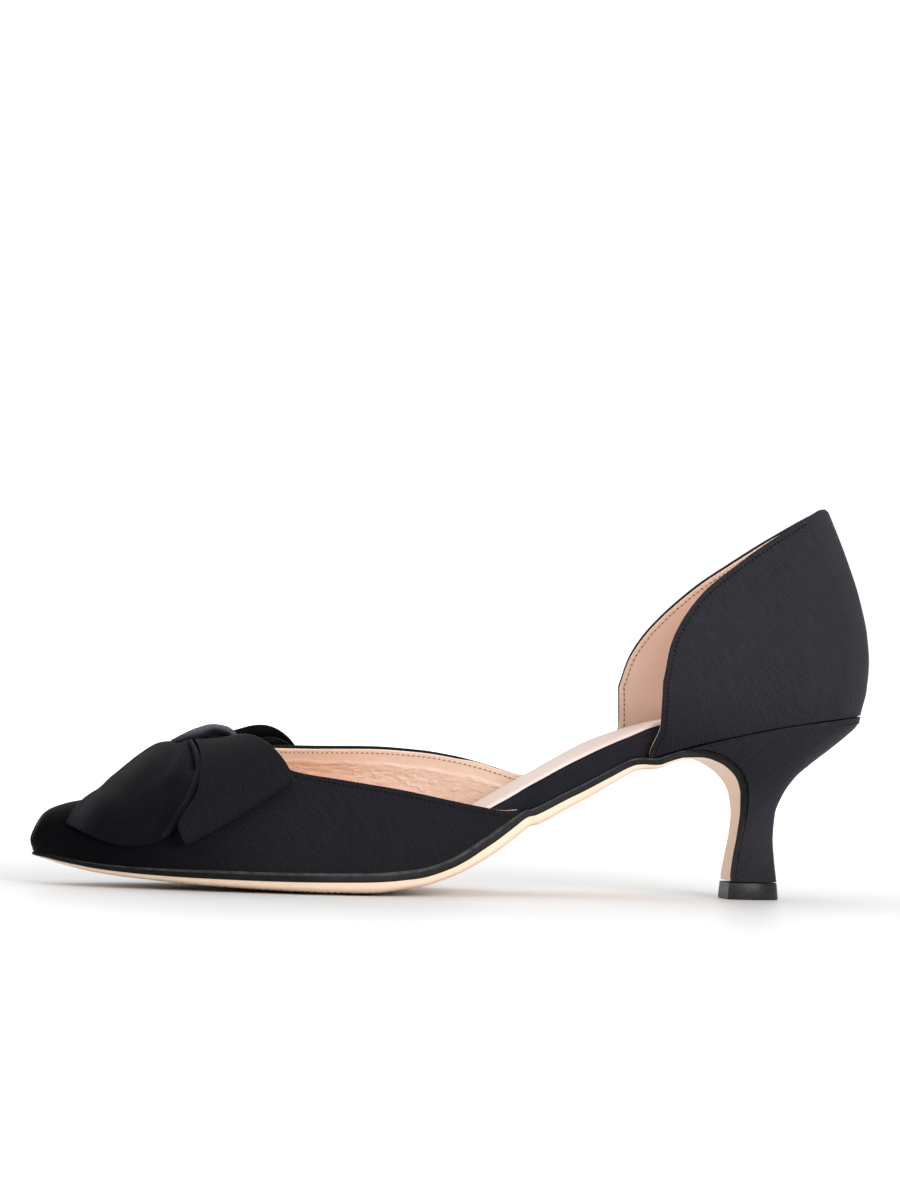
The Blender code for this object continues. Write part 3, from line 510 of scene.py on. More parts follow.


# Speckled finishes: inked sole edge, its chamfer with a painted highlight, a dark patch on the crown's
# lowest band, moulded lift, threads and needle holes with painted shade in them
finishes = {
    "edgeInk": {"dark": (0.003, 0.003, 0.003), "light": (0.009, 0.009, 0.009), "scale": 420.0,
                "roughness": 0.52, "height": 0.00012, "bump": 0.4, "specular": 0.18},
    # The chamfer's ink is painted lighter: a painted highlight where it catches light from above
    "chamferHighlightInk": {"dark": (0.010, 0.010, 0.010), "light": (0.050, 0.049, 0.047), "scale": 300.0,
                  "roughness": 0.5, "height": 0.00015, "bump": 0.5, "specular": 0.3},
    # A dark toothed patch where the crown comes within about half a millimetre of the floor
    "lowCrownPatch": {"dark": (0.030, 0.020, 0.014), "light": (0.075, 0.052, 0.038), "scale": 600.0,
                    "roughness": 0.6, "height": 0.0001, "bump": 0.4, "specular": 0.2},
    "liftRubber": {"dark": (0.014, 0.014, 0.015), "light": (0.028, 0.028, 0.029), "scale": 900.0,
                   "roughness": 0.36, "height": 0.00005, "bump": 0.35, "specular": 0.17},
    "blackThread": {"dark": (0.0015, 0.0015, 0.002), "light": (0.006, 0.006, 0.007), "scale": 3000.0,
                    "roughness": 0.6, "height": 0.00005, "bump": 0.4, "specular": 0.1},
    "tanThread": {"dark": (0.62, 0.40, 0.28), "light": (0.86, 0.62, 0.47), "scale": 3000.0,
                  "roughness": 0.6, "height": 0.00005, "bump": 0.4, "specular": 0.1},
    # Needle holes: painted shade, dark bars where the holes sink into the lining
    "needleHoleShade": {"dark": (0.10, 0.055, 0.035), "light": (0.16, 0.09, 0.06), "scale": 3000.0,
                   "roughness": 0.7, "height": 0.00005, "bump": 0.2, "specular": 0.1},
}


def makeFinish(name):
    kind = finishes[name]
    look, tree, shader = newLook(name)
    place = addNode(tree, "ShaderNodeTexCoord", {}).outputs["Object"]
    speckle = noise(tree, place, kind["scale"], detail=3.0, rough=0.6)
    share = spreadNoise(tree, speckle, 0, 1)
    tree.links.new(blendColours(tree, share, kind["dark"], kind["light"]), shader.inputs["Base Color"])
    bump = addNode(tree, "ShaderNodeBump", {"Height": speckle, "Strength": kind["bump"],
                                           "Distance": kind["height"]})
    tree.links.new(bump.outputs["Normal"], shader.inputs["Normal"])
    shader.inputs["Roughness"].default_value = kind["roughness"]
    shader.inputs["Specular IOR Level"].default_value = kind["specular"]
    return look


looks = {name: makeCloth(name) for name in ribbedCloth["grain"]}
looks.update({name: makeLeather(name) for name in leathers})
looks.update({name: makeFinish(name) for name in finishes})
print("materials made:", len(looks))


# Vamp: a domed wall from the feather line to its ridge, cut open behind the throat
vamp = {
    "round": 2.2, "bulge": 1.5, "bulgeRise": 5.0, "throatX": -64.0, "wingEnd": {-1: 16.0, 1: 34.5},
    "cloth": 0.85, "lining": 0.8, "ribTilt": 0.38, "ribFade": 9.0, "paintedShadeFrom": -112.0, "paintedShadeTo": -48.0,
    # the cloth is painted darker towards the toe: painted shade
    "paintedShade": -0.2, "tuck": 0.4,
    "frontStations": 60, "clothStations": 76, "clothRows": 46, "liningStations": 150, "liningRows": 80,
    "stationCrowding": 1.3, "rowCrowding": 1.4, "ridgePoints": 60, "slopeStep": 0.8, "slopeShare": 0.02,
}
# Drop of the lining's edge under the cloth's; it shows over the ends of the wings
liningDrop = {
    "usual": 0.45,
    -1: {"end": -0.2, "from": 1.0, "to": 7.0},
    1: {"end": -0.05, "from": 5.0, "to": 12.0},
}
# The vamp's ridge: its height, and its place across the shoe
ridgeRows = table(
    "x z aside",
    (-126.1, 10.6, 0.0),
    (-122.8, 21.2, 0.0),
    (-117.0, 24.0, 0.0),
    (-107.0, 26.2, -0.4),
    (-95.0, 29.4, -1.2),
    (-80.0, 35.2, -2.0),
    (-64.0, 42.6, -2.6),
    (-44.0, 51.5, -3.2),
    (-22.0, 59.0, -3.8),
    (0.0, 66.0, -4.0),
    (20.0, 72.0, -4.0),
    (40.0, 77.0, -4.0),
)
# Height of the cut edge on both sides, from the throat to the ends of the wings
vampTopRows = table(
    "x inner outer",
    (-64.0, 42.6, 42.6),
    (-58.0, 38.2, 42.7),
    (-52.0, 35.6, 42.5),
    (-40.0, 33.8, 42.4),
    (-22.0, 31.2, 42.6),
    (-6.0, 28.2, 41.8),
    (4.0, 26.4, 40.4),
    (12.0, 25.3, 38.6),
    (18.3, 26.0, 36.8),
    (26.0, 29.0, 34.8),
    (34.5, 34.0, 35.6),
)
# Creases of the vamp's lining on the outer wall: place along the shoe and depth below the cut edge
liningCreaseRows = table(
    "x0 y0 x1 y1 bow width depth",
    (-36.0, 6.2, -29.7, 5.3, 0.2, 0.45, 0.22),
    (-27.0, 6.2, -23.8, 5.0, 0.1, 0.45, 0.25),
    (-32.6, 7.2, -28.0, 7.7, -0.3, 0.5, 0.22),
    (-24.5, 8.7, -21.5, 7.9, 0.2, 0.5, 0.22),
    (-19.2, 7.4, -15.0, 7.3, 0.3, 0.45, 0.25),
    (-13.4, 7.8, -9.2, 8.4, -0.2, 0.5, 0.22),
    (-30.3, 8.7, -23.8, 9.3, 0.3, 0.5, 0.2),
    (-21.0, 10.2, -16.9, 9.5, 0.2, 0.5, 0.22),
    (-15.9, 8.7, -12.1, 9.3, -0.2, 0.45, 0.2),
    (-45.0, 6.0, -38.0, 6.6, 0.3, 0.5, 0.25),
    (-42.0, 8.4, -34.0, 9.0, -0.3, 0.5, 0.22),
    (-8.0, 7.2, -2.0, 8.2, 0.2, 0.5, 0.2),
    (-6.0, 10.0, 1.0, 9.4, 0.2, 0.5, 0.18),
)
# The facing along the cut edge: the lining below its line is fuller; painted shade darkens it towards the
# throat, most just below the line
facing = {
    "depth": 4.7, "soft": 1.5, "swell": 0.32, "wave": 0.2, "waveLength": 13.0,
    "shade": 0.6, "shadeTo": -6.0, "shadeRun": 36.0, "shadeDepth": 3.5, "shadeAll": 0.35, "shadeLine": 0.9,
}


def ridgeAt(name, x):
    return smooth(turnAt(x), turnAt(ridgeRows["x"]), ridgeRows[name])


# The outside of the vamp: across is -1 at the inner feather line, 0 on the ridge, 1 at the outer
def dome(x, across):
    x, across = np.broadcast_arrays(np.asarray(x, float), np.asarray(across, float))
    side = np.where(across < 0, -1.0, 1.0)
    turn = turnAt(x)
    over = overhangAt(x)
    footX, footY, outX, outY = outline(turn, side, over)
    otherX = outline(turn, -side, over)[0]
    angle = (1 - np.minimum(np.abs(across), 1.0)) * math.pi / 2
    base = soleLine(x) + shoeLast["gap"] / 2
    rise = ridgeAt("z", x) - base
    level = np.sin(angle) ** (2 / vamp["round"])
    spread = np.maximum(np.cos(angle), 0.0) ** (2 / vamp["round"])
    bulge = vamp["bulge"] * np.minimum(1.0, rise / vamp["bulgeRise"]) * np.sin(2 * angle) * np.cos(angle)
    middle = (footX + otherX) / 2
    aside = ridgeAt("aside", x)
    px = middle + (footX - middle) * spread + outX * bulge
    py = aside + (footY - aside) * spread + outY * bulge
    return np.stack([px, py, base + rise * level], -1)


def domeNormal(x, across):
    step, share = vamp["slopeStep"], vamp["slopeShare"]
    along = dome(x + step, across) - dome(x - step, across)
    over = dome(x, across + share) - dome(x, across - share)
    return unit(np.cross(along, over))


def overVamp(x, across, rise):
    return dome(x, across) + np.asarray(rise)[..., None] * domeNormal(x, across)


def behindThroat(x):
    return x > vamp["throatX"] + 0.01


# Angle up the dome at which a side is cut off
def vampTop(x, side):
    base = soleLine(x) + shoeLast["gap"] / 2
    share = (read(vampTopRows, "inner" if side < 0 else "outer", x) - base) / (ridgeAt("z", x) - base)
    top = np.arcsin(np.clip(share, 0, 1) ** (vamp["round"] / 2))
    return np.where(behindThroat(x), top, math.pi / 2)


def vampStations(side, count):
    front = xAt(np.linspace(0, float(turnAt(vamp["throatX"])), vamp["frontStations"]))
    shares = np.linspace(0, 1, count)[1:] ** vamp["stationCrowding"]
    return np.concatenate([front, vamp["throatX"] + (vamp["wingEnd"][side] - vamp["throatX"]) * shares])


# One side of the vamp as a grid, with its ribs, distance below the cut edge and place along the shoe;
# rows close up at the edge
def vampSide(side, layer):
    x = vampStations(side, vamp[layer + "Stations"])[:, None]
    top = vampTop(x, side)
    v = 1 - (1 - np.linspace(0, 1, vamp[layer + "Rows"])[None, :]) ** vamp["rowCrowding"]
    points = dome(x, side * (1 - v * top / (math.pi / 2)))
    steps = np.linalg.norm(np.diff(points, axis=1), axis=2)
    up = np.concatenate([np.zeros((len(x), 1)), np.cumsum(steps, axis=1)], axis=1)
    below = up[:, -1:] - up
    if layer == "lining":
        wing = liningDrop[side]
        late = ease((x - wing["from"]) / (wing["to"] - wing["from"]))
        drop = liningDrop["usual"] + (wing["end"] - liningDrop["usual"]) * late
        share = np.clip(1 - drop / np.maximum(up[:, -1:], 1.0), 0, 2)
        share = np.where(behindThroat(x), share, 1.0)
        points = dome(x, side * (1 - v * share * top / (math.pi / 2)))
    whole = dome(x, side * np.linspace(0, 1, vamp["ridgePoints"])[None, :])
    fromRidge = np.linalg.norm(np.diff(whole, axis=1), axis=2).sum(1)[:, None] - up
    bend = fromRidge - vamp["ribFade"] * (1 - np.exp(-fromRidge / vamp["ribFade"]))
    # Painted shade: the cloth darker towards the toe
    paintedShade = vamp["paintedShade"] * (1 - ease((x - vamp["paintedShadeFrom"]) / (vamp["paintedShadeTo"] - vamp["paintedShadeFrom"])))
    ribs = np.stack([x - vamp["ribTilt"] * bend, fromRidge, paintedShade + 0 * up], -1)
    return points, ribs, below, np.broadcast_to(x, up.shape)


# 0 on the facing, 1 below its line
def belowFacing(x, below):
    line = facing["depth"] + facing["wave"] * np.sin(x / facing["waveLength"] * 2 * math.pi)
    return ease((below - line) / facing["soft"] + 0.5)


# The lining is thin down to the facing's line, full and creased below it
def liningWall(side, x, below):
    wall = vamp["lining"] + facing["swell"] * belowFacing(x, below)
    return wall - (troughs(x, below, liningCreaseRows) if side > 0 else 0.0)


# What the lining's leather reads: its painted shade, and its wrinkles below the facing
def liningMarks(x, below):
    wearAndPaintedLight = belowFacing(x, below)
    # Painted shade: darker towards the throat, most just below the facing's line
    dim = facing["shade"] * ease((facing["shadeTo"] - x) / facing["shadeRun"])
    line = wearAndPaintedLight * np.exp(-np.maximum(below - facing["depth"], 0) / facing["shadeDepth"])
    return np.stack([dim * (facing["shadeAll"] + facing["shadeLine"] * line), 0 * wearAndPaintedLight, wearAndPaintedLight], -1)


# Both sides of a layer joined: points, faces, walls and ribs
def vampLayer(layer):
    points, ribs, walls, faces = [], [], [], []
    for side in (-1, 1):
        sidePoints, sideRibs, below, x = vampSide(side, layer)
        rows, columns, _ = sidePoints.shape
        if layer == "cloth":
            sidePoints[:, 0, 2] -= vamp["tuck"]
            wall = vamp["cloth"] + 0 * x
        else:
            sideRibs = liningMarks(x, below)
            wall = liningWall(side, x, below)
        faces += gridFaces(rows, columns, sum(len(p) for p in points), flip=side < 0)
        points.append(sidePoints.reshape(-1, 3))
        ribs.append(sideRibs.reshape(-1, 3))
        walls.append(wall.ravel())
    return np.concatenate(points), faces, np.concatenate(walls), np.concatenate(ribs)


def makeVamp():
    cloth = shell("vampCloth", *vampLayer("cloth"), looks["vampCloth"])
    settle(cloth, "ribbed_cloth", "vamp")
    lining = shell("vampLining", *vampLayer("lining"), looks["liningLeather"],
                   start=vamp["cloth"] + shoeLast["layerGap"], rim=shoeLast["liningRim"])
    settle(lining, "sock_leather", "vamp")


# Counter: a deep wall round the heel with a swept cut edge
counter = {
    "front": {-1: 58.0, 1: 55.2}, "toe": 2.4, "toeTop": 52.0, "toeRise": 9.0,
    "flareEnd": 92.0, "flareRun": 36.0, "cloth": 0.95, "lining": 0.9, "liningDrop": 0.4,
    "liningLead": 0.15, "leadTop": 55.0, "leadRise": 5.0,
    # the lining is painted darker towards its top: painted shade
    "liningShade": 0.22, "shadeFrom": 66.0, "shadeRise": 26.0,
    "ribTilt": 0.62, "ribLow": 0.33, "ribRise": 14.0, "ribClose": 0.87, "strandTilt": 0.5,
    # the cloth is painted darker near the counter's foot: painted shade
    "footZ": 44.0, "footShade": -0.09, "paintedShadeTop": 66.0,
    "columns": 70, "rows": 60, "crowding": 1.5, "arcRow": 15, "firstZ": 90.0, "steps": 60, "stepShare": 0.3,
}
# By height: the counter's back line, its width as a share of the seat's, and how far its front flares out
counterBackRows = table(
    "z x full flare",
    (43.0, 123.4, 0.99, 0.0),
    (50.0, 123.6, 1.00, 2.6),
    (56.0, 124.1, 1.00, 3.9),
    (64.0, 125.8, 1.03, 4.3),
    (72.0, 126.3, 1.04, 4.2),
    (80.0, 125.6, 1.01, 3.8),
    (92.0, 122.8, 0.93, 3.0),
    (104.0, 118.5, 0.84, 2.0),
    (118.6, 112.2, 0.74, 0.0),
)
# Height of the counter's cut edge on both sides, from the front edge to the back
counterTopRows = table(
    "x inner outer",
    (55.2, 62.0, 63.0),
    (58.0, 65.0, 71.4),
    (59.8, 75.0, 75.0),
    (62.8, 82.2, 79.6),
    (66.8, 88.2, 84.3),
    (71.0, 93.0, 88.6),
    (78.0, 98.7, 94.8),
    (86.0, 104.7, 100.6),
    (94.0, 110.1, 106.1),
    (102.0, 115.0, 111.4),
    (106.0, 117.1, 114.1),
    (108.0, 118.0, 115.5),
    (110.0, 118.3, 116.8),
    (112.0, 117.6, 117.3),
    (114.0, 116.9, 116.9),
    (130.0, 116.9, 116.9),
)


# The lead carries the lining's front edge a little ahead of the cloth's near the foot
def counterPoint(turn, side, z, lead=0.0):
    turn, side, z = np.broadcast_arrays(np.asarray(turn, float), side, z)
    seatX, seatY, _, _ = outline(turn, side, shoeLast["overhang"])
    rest = np.where(side < 0, counter["front"][-1], counter["front"][1])
    front = rest - counter["toe"] * ease((counter["toeTop"] - z) / counter["toeRise"])
    front = front - lead * ease((counter["leadTop"] - z) / counter["leadRise"])
    reach = (seatX - rest) / (shoeLast["heelX"] - shoeLast["overhang"] - rest)
    back, full, flare = (read(counterBackRows, name, z, "z") for name in ("x", "full", "flare"))
    flare = flare * ease((counter["flareEnd"] - seatX) / counter["flareRun"])
    y = seatY * full + side * flare
    return np.stack([front + reach * (back - front), y, z], -1)


# The counter as a grid from the outer front edge round the back to the inner front edge, with its ribs.
# Each column's top is stepped towards the cut edge, since the wall leans as it rises.
def counterGrid(drop=0.0, lead=0.0):
    shares = np.linspace(0, 1, counter["columns"]) ** counter["crowding"]
    turns, sides = [], []
    for side, order in ((1, 1), (-1, -1)):
        first = float(turnAt(counter["front"][side]))
        here = (first + (math.pi - first) * shares)[::order][max(0, -order):]
        turns += list(here)
        sides += [side] * len(here)
    turns, sides = np.array(turns), np.array(sides, float)
    low = soleLine(xAt(turns)) + shoeLast["gap"] / 2
    high = np.full(len(turns), counter["firstZ"])
    for _ in range(counter["steps"]):
        x = counterPoint(turns, sides, high)[:, 0]
        edge = np.where(sides < 0, read(counterTopRows, "inner", x), read(counterTopRows, "outer", x))
        high += counter["stepShare"] * (edge - high)
    v = np.linspace(0, 1, counter["rows"])[None, :]
    z = low[:, None] + v * (high - drop - low)[:, None]
    points = counterPoint(turns[:, None], sides[:, None], z, lead)
    arc = runOf(points[:, counter["arcRow"], :2])
    arc = (arc[-1] - arc)[:, None]
    lean = 1 - np.exp(-(z - counter["footZ"]) / counter["ribRise"])
    across = arc + counter["ribTilt"] * z - counter["ribLow"] * counter["ribRise"] * lean
    # Painted shade: darker low on the counter, near its foot
    paintedShade = counter["footShade"] * ease((counter["paintedShadeTop"] - z) / (counter["paintedShadeTop"] - counter["footZ"]))
    ribs = np.stack([across * counter["ribClose"], z - counter["strandTilt"] * arc, paintedShade], -1)
    return points, ribs


def makeCounter():
    points, ribs = counterGrid()
    rows, columns, _ = points.shape
    faces = gridFaces(rows, columns)
    cloth = shell("counterCloth", points, faces, counter["cloth"], ribs, looks["counterCloth"])
    settle(cloth, "ribbed_cloth", "counter")
    points, _ = counterGrid(counter["liningDrop"], counter["liningLead"])
    # Painted shade: the lining darker towards the top of the counter
    dim = counter["liningShade"] * ease((points[..., 2] - counter["shadeFrom"]) / counter["shadeRise"])
    ribs = dim[..., None] * np.array([1.0, 0.0, 0.0])
    lining = shell("counterLining", points, faces, counter["lining"], ribs, looks["counterLining"],
                   start=counter["cloth"] + shoeLast["layerGap"], rim=shoeLast["liningRim"])
    settle(lining, "sock_leather", "counter")


# Insole and sock: plates that follow the bottom of the last, the insole wrapped in cloth at the waist
insole = {"exposed": 1.2, "covered": 3.0, "vampClear": 3.0, "counterClear": 1.0, "step": 6.0, "bow": 0.5,
          "corner": 0.9, "cornerFrom": 0.97}
sock = {"thick": 0.9, "crown": 0.4, "inset": 0.3, "lie": 0.05, "edge": 0.45, "edgeFrom": 0.95, "bow": 0.15,
        # the sock is painted darker towards the heel: painted shade
        "shade": 0.4, "shadeFrom": 25.0, "shadeRun": 25.0}
plate = {"stations": 220, "across": 17, "sideRows": 7, "fullBow": 3.0, "bowRound": 0.6}
# Height of the insole's upper edges over the feather line
insoleRows = table(
    "x inner outer",
    (-126.1, 2.2, 2.2),
    (-60.0, 2.6, 2.6),
    (-30.0, 3.2, 3.2),
    (-17.0, 4.4, 3.6),
    (-6.0, 6.4, 4.2),
    (6.0, 8.2, 4.7),
    (16.0, 7.4, 4.8),
    (28.0, 7.4, 5.2),
    (40.0, 7.4, 6.1),
    (50.0, 7.5, 6.2),
    (57.0, 7.9, 6.0),
    (64.0, 7.3, 5.6),
    (75.0, 5.8, 4.8),
    (98.0, 4.1, 3.7),
    (109.0, 3.5, 3.5),
    (117.0, 3.4, 3.4),
    (124.8, 3.2, 3.2),
)
# The sole's upper face sags with the crown, and is flat under the heel seat
soleTop = {"sag": 0.6, "seatFlat": 66.0, "seatFade": 8.0}


# 1 where neither vamp nor counter covers the edge of the insole
def bareAt(x, side):
    wing = vamp["wingEnd"][side]
    bare = ease((x - wing - insole["vampClear"]) / insole["step"])
    front = counter["front"][side] - counter["toe"] - insole["counterClear"]
    return bare * ease((front - x) / insole["step"])


def insoleInset(x, side):
    return insole["covered"] + (insole["exposed"] - insole["covered"]) * bareAt(x, side)


def insoleTop(x, q):
    inner, outer = (read(insoleRows, name, x) for name in ("inner", "outer"))
    return lastAt("feather", x) + inner + (outer - inner) * (q + 1) / 2


def soleTopAt(x, y):
    inner = halfWidth(x, -1)
    outer = halfWidth(x, 1)
    q = (y - (outer - inner) / 2) / np.maximum((outer + inner) / 2, 0.1)
    sag = soleTop["sag"] * lastAt("crown", x) * ease((soleTop["seatFlat"] - x) / soleTop["seatFade"])
    return soleLine(x) - sag * np.maximum(0.0, 1 - q * q)


# 0 up to a share of the half width, 1 at the edge
def pastEdge(q, start):
    return max(0.0, (abs(q) - start) / (1 - start))


# A plate as rings round its section: under face, outer edge, upper face and inner edge
def makePlate(name, inset, low, high, bow, look, ribOf):
    turns = np.linspace(0, math.pi, plate["stations"])
    ends, outs = {}, {}
    for side in (-1, 1):
        endX, endY, outX, outY = outline(turns, side, insoleInset(xAt(turns), side) + inset)
        ends[side] = np.stack([endX, endY], -1)
        outs[side] = np.stack([outX, outY], -1)
    across = -np.cos(np.linspace(0, math.pi, plate["across"]))
    sideShares = np.linspace(0, 1, plate["sideRows"] + 2)[1:-1]
    rings = []

    def addFace(height, order):
        for q in across[::order]:
            p = ends[-1] + (ends[1] - ends[-1]) * (q + 1) / 2
            rings.append(np.column_stack([p, height(p[:, 0], p[:, 1], q)]))

    def addEdge(side):
        bottom, top = (height(*ends[side].T, side) for height in (low, high))
        for share in sideShares[::side]:
            wide = bow * math.sin(math.pi * share) ** plate["bowRound"]
            wide = wide * np.minimum(1.0, (top - bottom) / plate["fullBow"])
            pulled = ends[side] + outs[side] * wide[:, None]
            rings.append(np.column_stack([pulled, bottom + share * (top - bottom)]))

    addFace(low, 1)
    addEdge(1)
    addFace(high, -1)
    addEdge(-1)
    grid = np.stack(rings, 1)
    return loft(name, grid, ribOf(grid), [look], sharp=70)


def makeInsole():
    def low(x, y, q):
        return soleTopAt(x, y) + shoeLast["gap"] / 2

    def high(x, y, q):
        return insoleTop(x, q) - insole["corner"] * pastEdge(q, insole["cornerFrom"]) ** 2

    def ribOf(grid):
        rise = grid[..., 2] - lastAt("feather", grid[..., 0])
        return np.stack([rise, grid[..., 0], 0 * rise], -1)

    piece = makePlate("insoleWrap", 0.0, low, high, insole["bow"], looks["wrapCloth"], ribOf)
    settle(piece, "ribbed_cloth", "insole")


def makeSock():
    def low(x, y, q):
        return insoleTop(x, q) + sock["lie"]

    def high(x, y, q):
        drop = sock["edge"] * pastEdge(q, sock["edgeFrom"]) ** 2
        return insoleTop(x, q) + shoeLast["gap"] + sock["thick"] + sock["crown"] * (1 - q * q) - drop

    def ribOf(grid):
        # Painted shade: the sock darker towards the heel, inside the counter
        dim = sock["shade"] * ease((grid[..., 0] - sock["shadeFrom"]) / sock["shadeRun"])
        return dim[..., None] * np.array([1.0, 0.0, 0.0])

    piece = makePlate("sockPad", sock["inset"], low, high, sock["bow"], looks["sockLeather"], ribOf)
    settle(piece, "sock_leather", "sock")


# Sole: an inked edge band over a crowned leather bottom that turns down the front of the heel
sole = {
    "step": 0.45, "round": 4.0, "tipIn": 0.3, "tipRun": 6.0, "chamferRow": 2,
    "breastStart": 58.0, "breastBlend": 1 / 6, "shift": {-1: 0.6, 1: 0.4}, "endThin": 0.25, "endBevel": 1.6,
    "rings": 640, "breastRings": 90, "topPoints": 9, "crownPoints": 33, "slopeStep": 0.5, "breastStep": 0.3,
    "treadFrom": -98.0, "treadTo": -8.0, "treadFade": 14.0, "treadPitch": 2.0, "treadDepth": 0.6,
    "treadRound": 0.7, "treadWide": 0.93, "treadEnd": 0.05,
    "ledge": 0.7, "waistLedge": 0.25, "ledgeFrom": -112.0, "ledgeFull": -70.0, "ledgeTo": 18.0,
    "ledgeFade": 10.0, "patchFrom": -56.0, "patchTo": -14.0, "patchHigh": 0.5, "patchTooth": 0.6,
}
# The band's section; along the vamp its top stands up as a ledge
bandRows = table(
    "out down ledge",
    (-0.80, 0.00, 0.0),
    (-0.68, 0.02, 0.9),
    (-0.60, 0.03, 1.0),
    (-0.15, 0.25, 0.45),
    (-0.08, 0.30, 0.38),
    (0.00, 0.45, 0.20),
    (0.02, 0.80, 0.0),
    (-0.04, 0.94, 0.0),
    (-0.28, 1.00, 0.0),
)
# The sole's inner face down the breast of the heel, with its half width, edge and crown there
breastRows = table(
    "x z half edge crown",
    (58.0, 42.1, 21.8, 1.9, 1.5),
    (62.0, 43.6, 21.5, 1.9, 1.2),
    (66.0, 44.7, 21.0, 2.0, 0.9),
    (72.0, 44.9, 19.6, 2.1, 0.6),
    (78.0, 43.5, 17.2, 2.2, 0.3),
    (83.2, 40.6, 14.2, 2.3, 0.2),
    (86.7, 36.6, 11.2, 2.3, 0.1),
    (88.3, 32.0, 8.6, 2.2, 0.1),
    (88.6, 26.5, 6.8, 2.0, 0.1),
    (87.9, 20.0, 5.9, 1.8, 0.1),
    (86.4, 12.0, 6.1, 1.6, 0.1),
    (85.3, 5.4, 6.9, 1.4, 0.1),
)
breastRun = runOf(np.column_stack([breastRows["x"], breastRows["z"]]))


# The breast's values at a share of its length, and the way it heads there
def breast(share):
    at = share * breastRun[-1]
    values = {name: float(smooth(at, breastRun, breastRows[name])) for name in breastRows}
    return values, headingAt(at, breastRun, breastRows, sole["breastStep"])


# One section of the sole: upper face, inner band, crowned bottom, outer band
def soleRing(inner, outer, innerOut, outerOut, heading, edge, crown, top, tread, ledge):
    down = np.array([heading[1], 0.0, -heading[0]])
    ring = []
    pulled = bandRows["out"][0]
    first = [outer + pulled * np.array(outerOut), inner + pulled * np.array(innerOut)]
    for q in np.linspace(1, -1, sole["topPoints"]):
        p = first[1] + (first[0] - first[1]) * (q + 1) / 2
        ring.append(np.array([p[0], p[1], top(p, q)]))
    corner = {1: np.array([*outer, top(outer, 1.0)]), -1: np.array([*inner, top(inner, -1.0)])}
    outs = {1: np.array([*outerOut, 0.0]), -1: np.array([*innerOut, 0.0])}
    band = list(zip(bandRows["out"], edge * bandRows["down"] - ledge * bandRows["ledge"]))
    for out, depth in band[1:]:
        ring.append(corner[-1] + out * outs[-1] + depth * down)
    stepped = {s: corner[s] - sole["step"] * outs[s] + edge * down for s in (-1, 1)}
    for q in -np.cos(np.linspace(0, math.pi, sole["crownPoints"])):
        p = stepped[-1] + (stepped[1] - stepped[-1]) * (q + 1) / 2
        depth = max(0.0, 1 - abs(q) ** sole["round"]) ** (1 / sole["round"])
        groove = tread * float(ease((sole["treadWide"] - abs(q)) / sole["treadEnd"]))
        ring.append(p + (crown * depth - groove) * down)
    for out, depth in band[:0:-1]:
        ring.append(corner[1] + out * outs[1] + depth * down)
    ring = np.array(ring)
    ring[:, 2] = np.maximum(ring[:, 2], 0.0)  # flat where it stands on the floor
    return ring


# How deep a rib of the tread is cut, and how high the ledge stands, at a place along the shoe
def treadAt(x):
    start = ease((x - sole["treadFrom"]) / sole["treadFade"])
    end = ease((sole["treadTo"] - x) / sole["treadFade"])
    wave = max(0.0, math.cos(2 * math.pi * x / sole["treadPitch"])) ** sole["treadRound"]
    return sole["treadDepth"] * float(start * end) * wave


def ledgeAt(x):
    start = ease((x - sole["ledgeFrom"]) / (sole["ledgeFull"] - sole["ledgeFrom"]))
    waist = ease((x - sole["ledgeTo"]) / sole["ledgeFade"] + 1)
    return float((sole["ledge"] + (sole["waistLedge"] - sole["ledge"]) * waist) * start)


# Which finish each face of the sole's rings has: 0 ink, 1 leather, 2 the chamfer's ink with a painted
# highlight, 3 the dark patch along the crown's lowest band
def soleLooks(rings):
    lastTop = sole["topPoints"] - 1
    crownStart = lastTop + len(bandRows["out"]) - 1
    crown = slice(crownStart, crownStart + sole["crownPoints"] + 1)
    ringLook = np.zeros(rings.shape[:2], int)
    ringLook[:, crown] = 1
    ringLook[:, [lastTop + sole["chamferRow"], rings.shape[1] - 1 - sole["chamferRow"]]] = 2
    # The dark patch: the crown's faces nearest the floor, with teeth at the tread's pitch
    tooth = np.cos(2 * math.pi * rings[..., 0] / sole["treadPitch"])
    patch = rings[..., 2] < sole["patchHigh"] + sole["patchTooth"] * np.maximum(tooth, 0)
    patch &= (rings[..., 0] > sole["patchFrom"]) & (rings[..., 0] < sole["patchTo"])
    ringLook[:, crown][patch[:, crown]] = 3
    return ringLook


